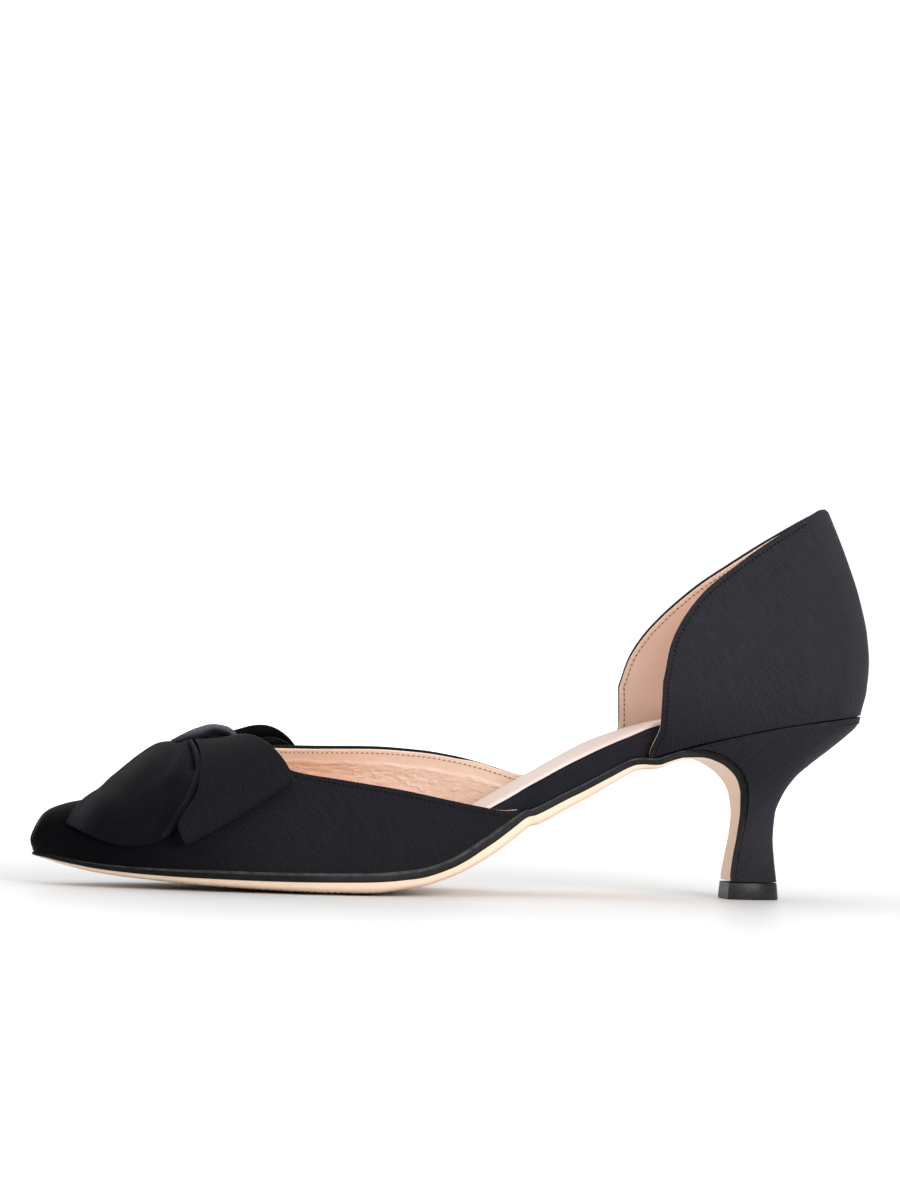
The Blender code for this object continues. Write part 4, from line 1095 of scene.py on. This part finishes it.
def makeSole():
    rings = []
    for turn in np.linspace(0, float(turnAt(sole["breastStart"])), sole["rings"]):
        x = float(xAt(turn))
        tip = sole["tipIn"] * float(1 - ease((x - shoeLast["toeX"]) / sole["tipRun"]))
        inner = outline(turn, -1, tip)
        outer = outline(turn, 1, tip)
        ahead, behind = x + sole["slopeStep"], max(x - sole["slopeStep"], shoeLast["toeX"])
        slope = float(lastAt("feather", ahead) - lastAt("feather", behind)) / (ahead - behind)
        heading = np.array([1.0, slope]) / math.hypot(1.0, slope)

        def top(p, q):
            return float(soleTopAt(p[0], p[1])) - shoeLast["gap"] / 2

        edge, crown = float(lastAt("edge", x)), float(lastAt("crown", x))
        rings.append(soleRing(np.array(inner[:2], float), np.array(outer[:2], float), inner[2:], outer[2:],
                              heading, edge, crown, top, treadAt(x), ledgeAt(x)))
    for share in np.linspace(0, 1, sole["breastRings"])[1:]:
        at, heading = breast(share)
        blend = float(ease(1 - share / sole["breastBlend"]))
        inner = np.array([at["x"], -at["half"] + blend * sole["shift"][-1]])
        outer = np.array([at["x"], at["half"] + blend * sole["shift"][1]])

        def top(p, q):
            return at["z"] - blend * soleTop["sag"] * at["crown"] * (1 - q * q)

        bevel = float(ease((1 - share) * breastRun[-1] / sole["endBevel"]))
        edge = at["edge"] * (1 - sole["endThin"] * (1 - bevel))
        crown = at["crown"] * bevel
        rings.append(soleRing(inner, outer, (0, -1), (0, 1), heading, edge, crown, top,
                              0.0, sole["waistLedge"]))
    rings = np.array(rings)
    kinds = [looks[name] for name in ("edgeInk", "soleLeather", "chamferHighlightInk", "lowCrownPatch")]
    settle(loft("soleLeather", rings, None, kinds, soleLooks(rings)), "sole_leather", "outsole")


# Heel: a flared block covered in cloth, with a rolled lip under the seat, on a moulded lift
heel = {
    "base": 5.4, "shelf": 67.0, "shelfSteps": 2001, "front": 0.9, "widest": 0.4, "round": 2.3, "rings": 110,
    "sidePoints": 34, "frontPoints": 9,
    "ribLean": (0.78, -0.63), "lip": 0.3, "lipFrom": 0.965, "seam": 0.35,
    "neckZ": 20.0, "neckTall": 14.0, "neckHighlight": 0.16,
# the neck is painted lighter: a painted highlight
}
# The heel's back line and half width, from its base to the seat
heelRows = table(
    "share backX backZ half",
    (0.00, 99.8, 5.4, 7.2),
    (0.11, 98.9, 12.0, 6.5),
    (0.24, 98.3, 19.0, 6.2),
    (0.35, 98.7, 26.0, 7.0),
    (0.44, 100.6, 31.5, 8.9),
    (0.53, 104.1, 37.0, 11.7),
    (0.62, 108.8, 41.4, 14.9),
    (0.72, 114.4, 45.9, 18.4),
    (0.82, 119.3, 50.0, 21.4),
    (0.92, 122.6, 53.2, 23.4),
    (1.00, 123.6, 54.8, 24.2),
)
lift = {"top": 5.1, "lowFront": 83.5, "lowBack": 100.5, "lowHalf": 7.3, "highFront": 83.9, "highBack": 99.9,
        "highHalf": 7.1, "sidePoints": 30}
# The lift's edges are rounded: how far its section grows or draws in as it rises
liftEdgeRows = table(
    "z grow",
    (0.0, -0.35),
    (0.1, -0.1),
    (0.35, 0.0),
    (2.55, 0.0),
    (4.8, 0.0),
    (5.02, -0.08),
    (5.1, -0.3),
)


# Half width along a heel section, from its flat front to its round back
def heelSide(share):
    front = heel["front"] + (1 - heel["front"]) * np.sin(math.pi / 2 * np.minimum(share / heel["widest"], 1))
    behind = np.clip((share - heel["widest"]) / (1 - heel["widest"]), 0, 1)
    return np.where(share < heel["widest"], front, (1 - behind ** heel["round"]) ** (1 / heel["round"]))


# Shares along and across a heel section in order round it: back, outer side, flat front, inner side
def heelRing(sidePoints):
    shares = (1 + np.cos(math.pi * np.arange(sidePoints + 1) / sidePoints)) / 2
    wide = heelSide(shares)
    front = np.linspace(1, -1, heel["frontPoints"] + 2)[1:-1] * heel["front"]
    along = np.concatenate([shares, np.zeros(len(front)), shares[:0:-1]])
    across = np.concatenate([wide, front, -wide[:0:-1]])
    return along, across


def makeHeel():
    along, across = heelRing(heel["sidePoints"])
    fine = np.linspace(0, 1, heel["shelfSteps"])
    topShare = next(s for s in fine if breast(s)[0]["x"] > heel["shelf"])
    rings = []
    for share in np.linspace(0, 1, heel["rings"]):
        at, heading = breast(1 + (topShare - 1) * share)
        backX, backZ, half = (float(read(heelRows, n, share, "share")) for n in ("backX", "backZ", "half"))
        frontX = at["x"] - shoeLast["gap"] * heading[1]
        frontZ = max(at["z"] + shoeLast["gap"] * heading[0], heel["base"])
        inLip = max(0.0, (share - heel["lipFrom"]) / (1 - heel["lipFrom"]))
        roll = heel["lip"] * math.sin(math.pi * min(1.0, inLip))
        half += roll
        backX += roll
        rings.append(np.stack([frontX + along * (backX - frontX), half * across,
                               frontZ + along * (backZ - frontZ)], -1))
    seatBack = shoeLast["heelX"] - shoeLast["overhang"]
    x = heel["shelf"] + along * (seatBack - heel["shelf"])
    seatZ = soleLine(x) - shoeLast["gap"] / 2 - heel["seam"]
    rings.append(np.stack([x, float(heelRows["half"][-1]) * across, seatZ], -1))
    rings = np.array(rings)
    lean = heel["ribLean"][0] * rings[..., 0] + heel["ribLean"][1] * rings[..., 2]
    # Painted highlight round the heel's neck
    paintedLight = heel["neckHighlight"] * np.exp(-(((rings[..., 2] - heel["neckZ"]) / heel["neckTall"]) ** 2))
    ribs = np.stack([lean, rings[..., 2], paintedLight], -1)
    piece = loft("heelCover", rings, ribs, [looks["heelCloth"]], sharp=65)
    settle(piece, "ribbed_cloth", "heel")


def makeLift():
    along, across = heelRing(lift["sidePoints"])
    rings = []
    for z, grow in zip(*liftEdgeRows.values()):
        share = z / lift["top"]
        front = lift["lowFront"] + share * (lift["highFront"] - lift["lowFront"]) - grow
        back = lift["lowBack"] + share * (lift["highBack"] - lift["lowBack"]) + grow
        half = lift["lowHalf"] + share * (lift["highHalf"] - lift["lowHalf"]) + grow
        rings.append(np.stack([front + along * (back - front), half * across, np.full(len(along), z)], -1))
    piece = loft("topLift", rings, None, [looks["liftRubber"]], sharp=40)
    settle(piece, "lift_rubber", "top_lift")


# Bow: two flattened loops and two cut tails laid on the vamp, and a knot band over their roots
bow = {
    "ribbon": 1.1, "loopLie": 1.1, "full": {-1: 1.0, 1: 0.68}, "rootFull": {-1: 0.0, 1: 0.30}, "rootFade": 3,
    "loopRibs": 38.0, "loopStep": 3.0, "loopStations": 96, "loopColumns": 44,
    "tailLie": 1.0, "tailSweep": 0.14, "tailRibs": 30.0, "tailRun": 45.0,
    "tailStations": 90, "tailCrowding": 1.5,
}
# Where a loop lies on the vamp from root to fold: its toe and heel edges, along the shoe and across the dome
innerLoopRows = table(
    "run toeX toeAcross heelX heelAcross",
    (0.0, -76.2, 0.13, -67.6, 0.13),
    (0.3, -75.8, 0.33, -62.6, 0.27),
    (0.6, -78.0, 0.57, -57.0, 0.43),
    (0.85, -84.2, 0.755, -54.2, 0.535),
    (1.0, -83.2, 0.84, -53.0, 0.59),
)
outerLoopRows = table(
    "run toeX toeAcross heelX heelAcross",
    (0.0, -76.2, 0.13, -65.8, 0.13),
    (0.3, -75.8, 0.33, -54.4, 0.28),
    (0.6, -77.4, 0.57, -45.6, 0.45),
    (1.0, -82.0, 0.83, -39.2, 0.63),
)
# How high a loop's edges stand over the vamp, out along its top to the fold and back underneath
loopRiseRows = table(
    "run toe heel",
    (0.00, 8.4, 4.8),
    (0.10, 8.5, 5.6),
    (0.22, 8.6, 6.3),
    (0.38, 8.4, 6.8),
    (0.55, 8.0, 6.6),
    (0.72, 7.2, 6.0),
    (0.86, 6.0, 5.2),
    (0.95, 4.9, 4.4),
    (0.99, 4.0, 3.7),
    (1.00, 3.2, 3.0),
    (0.98, 2.4, 2.3),
    (0.92, 1.8, 1.7),
    (0.80, 1.3, 1.3),
    (0.65, 1.1, 1.1),
    (0.50, 1.1, 1.1),
    (0.35, 1.1, 1.1),
    (0.18, 1.1, 1.1),
    (0.00, 1.1, 1.1),
)
# Where a tail lies from root to cut end, and how high its toe and heel edges stand
tailNames = "run toeX toeAcross heelX heelAcross toeRise heelRise"
innerTailRows = table(
    tailNames,
    (0.00, -80.8, 0.02, -77.8, 0.16, 8.7, 8.8),
    (0.15, -86.0, -0.03, -77.2, 0.26, 10.2, 7.6),
    (0.35, -92.5, -0.07, -76.6, 0.40, 8.8, 6.4),
    (0.60, -101.5, -0.05, -79.8, 0.56, 5.0, 4.6),
    (0.80, -108.2, 0.11, -84.4, 0.675, 2.0, 2.9),
    (0.92, -113.4, 0.38, -87.2, 0.735, 1.6, 1.7),
    (1.00, -116.2, 0.60, -88.8, 0.77, 1.1, 1.1),
)
outerTailRows = table(
    tailNames,
    (0.00, -80.8, 0.10, -77.8, 0.17, 7.8, 8.2),
    (0.15, -85.4, 0.14, -77.8, 0.26, 6.8, 6.6),
    (0.35, -91.5, 0.18, -78.0, 0.40, 6.2, 6.2),
    (0.60, -100.0, 0.24, -80.8, 0.57, 3.8, 4.4),
    (0.80, -107.0, 0.34, -84.8, 0.69, 2.1, 2.8),
    (0.92, -111.0, 0.46, -87.6, 0.75, 1.5, 1.6),
    (1.00, -113.6, 0.58, -89.4, 0.79, 1.1, 1.1),
)
# Folds of a tail: run along it and share across it (0 at the toe edge), both 0 to 1
tailFoldRows = table(
    "x0 y0 x1 y1 bow width depth",
    (0.05, 0.84, 0.36, 0.86, 0.0, 0.07, 2.2),
    (0.05, 0.45, 0.55, 0.55, 0.03, 0.10, 0.5),
    (0.08, 0.65, 0.50, 0.70, 0.0, 0.08, -0.4),
    (0.66, 0.74, 0.84, 0.80, 0.0, 0.10, 1.0),
    (0.30, 0.22, 0.80, 0.30, 0.03, 0.12, -0.35),
)
# The tail's heel edge is rolled into a hem, with a painted highlight along it; its outer corner has a
# painted highlight, and the tail is painted darker towards its cut end
tailHem = {"at": 0.965, "wide": 0.028, "high": 0.9, "low": 0.3, "lowFrom": 0.3, "lowRun": 0.7, "paintedLight": 0.16}
tailPaintedLight = {"run": 0.93, "across": 0.06, "wide": 0.1, "paintedLight": 0.35,
            "paintedShade": -0.12, "paintedShadeFrom": 0.2, "paintedShadeRun": 0.6}
# The knot's band along its middle, with its half width and thickness
knotRows = table(
    "x z half wall",
    (-85.6, 43.1, 4.4, 1.2),
    (-82.5, 44.3, 5.1, 2.2),
    (-78.0, 46.0, 5.6, 3.0),
    (-73.6, 47.4, 5.8, 2.6),
    (-70.0, 46.7, 5.8, 2.6),
    (-67.6, 44.9, 5.6, 2.4),
    (-66.2, 43.0, 5.2, 2.0),
)
# Under the middle of the band a core reaches down to the vamp
knot = {
    "curl": 0.2, "folds": 3, "foldDepth": 0.28, "foldFrom": -74.0, "foldRun": 6.0, "topX": -73.6,
    "wideRound": 0.5, "wallRound": 0.7,
    "coreFront": -76.6, "coreBack": -67.2, "coreHalf": 4.3, "coreClear": 0.4,
    # the knot's top is painted lighter: a painted highlight
    "paintedLight": 1.7, "highlightFrom": -86.0, "highlightRun": 9.0, "stations": 70, "around": 48, "slopeStep": 0.2,
}


def makeLoop(name, side, rows, look, node):
    steps = np.arange(len(loopRiseRows["run"]), dtype=float)
    fine = np.linspace(0, steps[-1], bow["loopStations"])
    run, toe, heelRise = (smooth(fine, steps, loopRiseRows[n])[:, None] for n in ("run", "toe", "heel"))
    run = np.clip(run, 0, 1)
    t = np.linspace(0, 1, bow["loopColumns"])[None, :]
    toeX, toeAcross, heelX, heelAcross = (read(rows, n, run, "run") for n in list(rows)[1:])
    x = toeX + t * (heelX - toeX)
    across = toeAcross + t * (heelAcross - toeAcross)
    swell = bow["full"][side] + bow["rootFull"][side] * (1 - run) ** bow["rootFade"]
    rise = bow["loopLie"] + swell * (toe + t * (heelRise - toe) - bow["loopLie"])
    points = overVamp(x, side * across, rise)
    ribs = np.stack([t * bow["loopRibs"] + 0 * run, fine[:, None] * bow["loopStep"] + 0 * t, 0 * rise], -1)
    faces = gridFaces(len(fine), t.shape[1], flip=side > 0)
    piece = shell(name, points, faces, bow["ribbon"], ribs, looks[look], start=-bow["ribbon"] / 2)
    settle(piece, "ribbed_cloth", node)


def makeTail(name, side, rows, node):
    shares = np.linspace(0, 1, bow["tailStations"])
    run = shares[:, None]
    t = 1 - (1 - shares[None, :]) ** bow["tailCrowding"]
    at = {n: read(rows, n, run, "run") for n in list(rows)[1:]}
    x = at["toeX"] + t * (at["heelX"] - at["toeX"])
    across = at["toeAcross"] + t * (at["heelAcross"] - at["toeAcross"])
    across = across + bow["tailSweep"] * run * run * 4 * t * (1 - t)
    roll = np.exp(-(((t - tailHem["at"]) / tailHem["wide"]) ** 2))
    lower = ease((run - tailHem["lowFrom"]) / tailHem["lowRun"])
    high = tailHem["high"] + (tailHem["low"] - tailHem["high"]) * lower
    rise = at["toeRise"] + t * (at["heelRise"] - at["toeRise"]) - troughs(run, t, tailFoldRows)
    rise = np.maximum(rise, bow["tailLie"]) + high * roll
    # Painted light: a highlight on the corner and along the hem, painted shade towards the cut end
    away = ((run - tailPaintedLight["run"]) ** 2 + (t - tailPaintedLight["across"]) ** 2) / tailPaintedLight["wide"] ** 2
    paintedShade = tailPaintedLight["paintedShade"] * ease((run - tailPaintedLight["paintedShadeFrom"]) / tailPaintedLight["paintedShadeRun"])
    paintedLight = tailPaintedLight["paintedLight"] * np.exp(-away) + tailHem["paintedLight"] * roll + paintedShade
    points = overVamp(x, side * across, rise)
    ribs = np.stack([t * bow["tailRibs"] + 0 * run, run * bow["tailRun"] + 0 * t, paintedLight], -1)
    faces = gridFaces(run.shape[0], t.shape[1], flip=side < 0)
    piece = shell(name, points, faces, bow["ribbon"], ribs, looks["ribbonCloth"], start=-bow["ribbon"] / 2)
    settle(piece, "ribbed_cloth", node)


def makeKnot():
    run = runOf(np.column_stack([knotRows["x"], knotRows["z"]]))
    middle = float(ridgeAt("aside", knot["topX"]))
    turn = np.linspace(0, 2 * math.pi, knot["around"], endpoint=False)
    rings, ribs = [], []
    for at in np.linspace(0, run[-1], knot["stations"]):
        x, z, half, wall = (float(smooth(at, run, knotRows[n])) for n in knotRows)
        heading = headingAt(at, run, knotRows, knot["slopeStep"])
        up = np.array([-heading[1], heading[0]])
        wide = half * np.copysign(np.abs(np.cos(turn)) ** knot["wideRound"], np.cos(turn))
        thick = wall / 2 * np.copysign(np.abs(np.sin(turn)) ** knot["wallRound"], np.sin(turn))
        thick = thick - knot["curl"] * wall * (wide / half) ** 2
        pleat = np.cos(2 * math.pi * knot["folds"] * (wide / half + 1) / 2) * np.maximum(np.sin(turn), 0)
        thick = thick - knot["foldDepth"] * float(ease((x - knot["foldFrom"]) / knot["foldRun"])) * pleat
        ring = np.stack([x + thick * up[0], middle + wide, z + thick * up[1]], -1)
        if knot["coreFront"] < x < knot["coreBack"]:
            core = (np.sin(turn) < 0) & (np.abs(wide) < knot["coreHalf"])
            ring[core, 2] = np.minimum(ring[core, 2], ridgeAt("z", ring[core, 0]) + knot["coreClear"])
        rings.append(ring)
        # Painted highlight on the knot's top, rising from its front
        paintedLight = knot["paintedLight"] * float(ease((x - knot["highlightFrom"]) / knot["highlightRun"]))
        paintedLight = paintedLight * np.maximum(np.sin(turn), 0)
        ribs.append(np.stack([wide, np.full(len(turn), at), paintedLight], -1))
    piece = loft("bowKnot", rings, ribs, [looks["ribbonCloth"]], sharp=75)
    settle(piece, "ribbed_cloth", "bow_knot")


# Stitches along the cut edges, outside and on the lining, with needle holes between those of the lining
stitching = {
    "inset": 1.3, "peakX": 103.0, "throatClear": 6.0, "endClear": 1.0, "vampPoints": 300,
    "proud": 0.02, "holeDeep": 0.04, "rings": 5, "sides": 6, "tip": 0.02,
    "outside": {"pitch": 1.4, "length": 0.8, "radius": 0.28},
    "thread": {"pitch": 1.6, "length": 1.0, "radius": 0.2},
    "hole": {"pitch": 1.6, "length": 0.66, "radius": 0.24},
}


# A row of stitches beside an edge, as short round bars joined into one mesh
def stitchRow(name, edge, normal, depth, kind, shift, look, slot):
    length, radius = stitching[kind]["length"], stitching[kind]["radius"]
    along = unit(np.gradient(edge, axis=0))
    inward = unit(np.cross(normal, along))
    if np.mean(inward[:, 2]) > 0:
        inward = -inward
    line = edge + stitching["inset"] * inward + depth * normal
    run = runOf(line)
    clear = stitching["endClear"]
    middles = np.arange(clear + shift, run[-1] - clear, stitching[kind]["pitch"])
    rings, sides = stitching["rings"], stitching["sides"]
    s = np.linspace(-1, 1, rings)
    ball = np.sqrt(np.maximum(stitching["tip"], 1 - s**4))
    points, faces = [], []
    for middle in middles:
        at, a, n = (np.array([np.interp(middle, run, column) for column in part.T])
                    for part in (line, along, normal))
        cross = np.cross(a, n)
        first = len(points)
        for place, size in zip(s, ball):
            for k in range(sides):
                turn = 2 * math.pi * k / sides
                ring = radius * size * (math.cos(turn) * cross + math.sin(turn) * n)
                points.append(at + a * place * length / 2 + ring)
        faces += [(first + r * sides + k, first + r * sides + (k + 1) % sides,
                   first + (r + 1) * sides + (k + 1) % sides, first + (r + 1) * sides + k)
                  for r in range(rings - 1) for k in range(sides)]
        faces += [tuple(first + k for k in range(sides))[::-1],
                  tuple(first + (rings - 1) * sides + k for k in range(sides))]
    piece = finishMesh(name, points, faces, None, [look])
    settle(piece, slot)


# The cut edges that are stitched: their points, the way out of the cloth there, and the whole wall's depth.
# A row on the counter runs up its front edge and along the top, and stops short of the peak.
def stitchedEdges():
    edges = {}
    wall = vamp["cloth"] + vamp["lining"] + shoeLast["layerGap"]
    for side, word in ((-1, "Inner"), (1, "Outer")):
        first = vamp["throatX"] + stitching["throatClear"]
        x = np.linspace(first, vamp["wingEnd"][side] - stitching["endClear"], stitching["vampPoints"])
        across = side * (1 - vampTop(x, side) / (math.pi / 2))
        edges["vamp" + word] = dome(x, across), domeNormal(x, across), wall
    wall = counter["cloth"] + counter["lining"] + shoeLast["layerGap"]
    points, _ = counterGrid()
    normal = unit(np.cross(np.gradient(points, axis=1), np.gradient(points, axis=0)))
    normal *= np.sign(normal[0, counter["arcRow"], 1])  # out of the cloth is +Y on the outer side
    half = len(points) // 2
    for word, cut, order in (("Outer", slice(0, half + 1), 1), ("Inner", slice(half, None), -1)):
        low = np.nonzero(points[cut, -1, 0] < stitching["peakX"])[0]
        path = []
        for grid in (points, normal):
            front, top = grid[cut][::order][0, :-1], grid[cut][low, -1][::order]
            path.append(np.concatenate([front, top]))
        edges["counter" + word] = *path, wall
    return edges


def makeStitches():
    proud, between = stitching["proud"], stitching["hole"]["pitch"] / 2
    for name, (edge, normal, wall) in stitchedEdges().items():
        stitchRow(name + "Stitches", edge, normal, proud, "outside", 0.0,
                  looks["blackThread"], "ribbed_cloth")
        stitchRow(name + "LiningStitches", edge, normal, -wall - proud, "thread", 0.0,
                  looks["tanThread"], "sock_leather")
        # The needle holes are dark bars sunk in the lining: painted shade in the holes
        stitchRow(name + "Holes", edge, normal, -wall + stitching["holeDeep"], "hole", between,
                  looks["needleHoleShade"], "sock_leather")


# Studio: white floor and backdrop, light from above, from behind and from the heel end, dark towards the toe
studio = {
    "floorSize": 30.0, "floor": (0.8, 0.8, 0.8), "floorRoughness": 0.4, "floorGloss": 0.15,
    "glowNear": 0.0, "glowFar": 1.0, "glowFrom": 0.09, "glowTo": 1.1,
    "dark": 0.05, "heelSide": 0.2, "heelFrom": -0.1, "behind": 0.9, "behindFrom": 0.3,
    "above": 0.1, "aboveFrom": 0.2, "backdrop": 1.05,
}
lightRows = {
    "topLight": {"at": (0.0, 0.10, 1.0), "aim": (0.0, 0.10, 0.0), "size": 2.0, "power": 16.0},
    "keyLight": {"at": (0.42, -1.05, 0.44), "aim": (0.02, 0.0, 0.04), "size": 0.6, "power": 11.0},
}


# The floor glows further out, so that it fades into the backdrop
def makeFloor():
    mesh = bpy.data.meshes.new("floor")
    half = studio["floorSize"] / 2
    corners = [(-half, -half, 0), (half, -half, 0), (half, half, 0), (-half, half, 0)]
    mesh.from_pydata(corners, [], [(0, 1, 2, 3)])
    floor = bpy.data.objects.new("floor", mesh)
    bpy.context.scene.collection.objects.link(floor)
    look, tree, shader = newLook("floorPaper")
    shader.inputs["Base Color"].default_value = (*studio["floor"], 1.0)
    shader.inputs["Roughness"].default_value = studio["floorRoughness"]
    shader.inputs["Specular IOR Level"].default_value = studio["floorGloss"]
    shader.inputs["Emission Color"].default_value = (1.0, 1.0, 1.0, 1.0)
    place = addNode(tree, "ShaderNodeTexCoord", {}).outputs["Object"]
    away = addNode(tree, "ShaderNodeVectorMath", {0: place}, operation="LENGTH").outputs["Value"]
    glow = mapTo(tree, away, studio["glowFrom"], studio["glowTo"], studio["glowNear"], studio["glowFar"])
    tree.links.new(glow, shader.inputs["Emission Strength"])
    mesh.materials.append(look)
    print("floor laid")


def makeBackdrop():
    world = bpy.data.worlds.new("studio")
    bpy.context.scene.world = world
    world.use_nodes = True
    tree = world.node_tree
    tree.nodes.clear()
    direction = addNode(tree, "ShaderNodeTexCoord", {}).outputs["Generated"]
    towards = addNode(tree, "ShaderNodeSeparateXYZ", {"Vector": direction}).outputs
    level = mapTo(tree, towards["X"], studio["heelFrom"], 1, studio["dark"], studio["heelSide"])
    behind = mapTo(tree, towards["Y"], studio["behindFrom"], 1, 0, studio["behind"])
    above = mapTo(tree, towards["Z"], studio["aboveFrom"], 1, 0, studio["above"])
    level = mathNode(tree, "ADD", mathNode(tree, "ADD", level, behind), above)
    lit = addNode(tree, "ShaderNodeBackground", {"Color": (1, 1, 1, 1), "Strength": level})
    seen = addNode(tree, "ShaderNodeBackground", {"Color": (1, 1, 1, 1), "Strength": studio["backdrop"]})
    ray = addNode(tree, "ShaderNodeLightPath", {}).outputs["Is Camera Ray"]
    mix = addNode(tree, "ShaderNodeMixShader", {0: ray, 1: lit.outputs[0], 2: seen.outputs[0]})
    addNode(tree, "ShaderNodeOutputWorld", {"Surface": mix.outputs[0]})
    print("backdrop hung")


def makeLights():
    for name, row in lightRows.items():
        lamp = bpy.data.lights.new(name, "AREA")
        lamp.size = row["size"]
        lamp.energy = row["power"]
        item = bpy.data.objects.new(name, lamp)
        item.location = row["at"]
        aim = Vector(row["aim"]) - item.location
        item.rotation_euler = aim.to_track_quat("-Z", "Y").to_euler()
        bpy.context.scene.collection.objects.link(item)
    bpy.context.scene.view_settings.view_transform = "Standard"
    print("studio lit with", len(lightRows), "lamps")


# Camera at the photograph's angle: from the inner side, 10 degrees towards the toe
viewpoint = {"swing": 10.0, "distance": 1.6, "height": 0.075, "aim": (-0.00295, 0.0, 0.0877), "roll": 1.7,
             "lens": 160.0, "sensor": 36.0}


def makeCamera():
    swing = math.radians(viewpoint["swing"])
    aim = Vector(viewpoint["aim"])
    distance = viewpoint["distance"]
    place = Vector((aim.x - math.sin(swing) * distance, -math.cos(swing) * distance, viewpoint["height"]))
    forward = (aim - place).normalized()
    right = forward.cross(Vector((0, 0, 1))).normalized()
    up = right.cross(forward)
    roll = math.radians(viewpoint["roll"])
    rolledRight = right * math.cos(roll) + up * math.sin(roll)
    rolledUp = up * math.cos(roll) - right * math.sin(roll)
    lens = bpy.data.cameras.new("camera")
    lens.lens = viewpoint["lens"]
    lens.sensor_width = viewpoint["sensor"]
    camera = bpy.data.objects.new("camera", lens)
    turned = Matrix((rolledRight, rolledUp, -forward)).transposed().to_4x4()
    camera.matrix_world = Matrix.Translation(place) @ turned
    bpy.context.scene.collection.objects.link(camera)
    bpy.context.scene.camera = camera
    print("camera placed")


makeCamera()
makeFloor()
makeBackdrop()
makeLights()
makeSole()
makeInsole()
makeSock()
makeHeel()
makeLift()
makeVamp()
makeCounter()
makeLoop("bowLoopInner", -1, innerLoopRows, "ribbonCloth", "bow_loop_inner")
# The far loop takes a darker copy of the cloth: painted shade
makeLoop("bowLoopOuter", 1, outerLoopRows, "shadedFarCloth", "bow_loop_outer")
makeTail("bowTailInner", -1, innerTailRows, "bow_tail_inner")
makeTail("bowTailOuter", 1, outerTailRows, "bow_tail_outer")
makeKnot()
makeStitches()
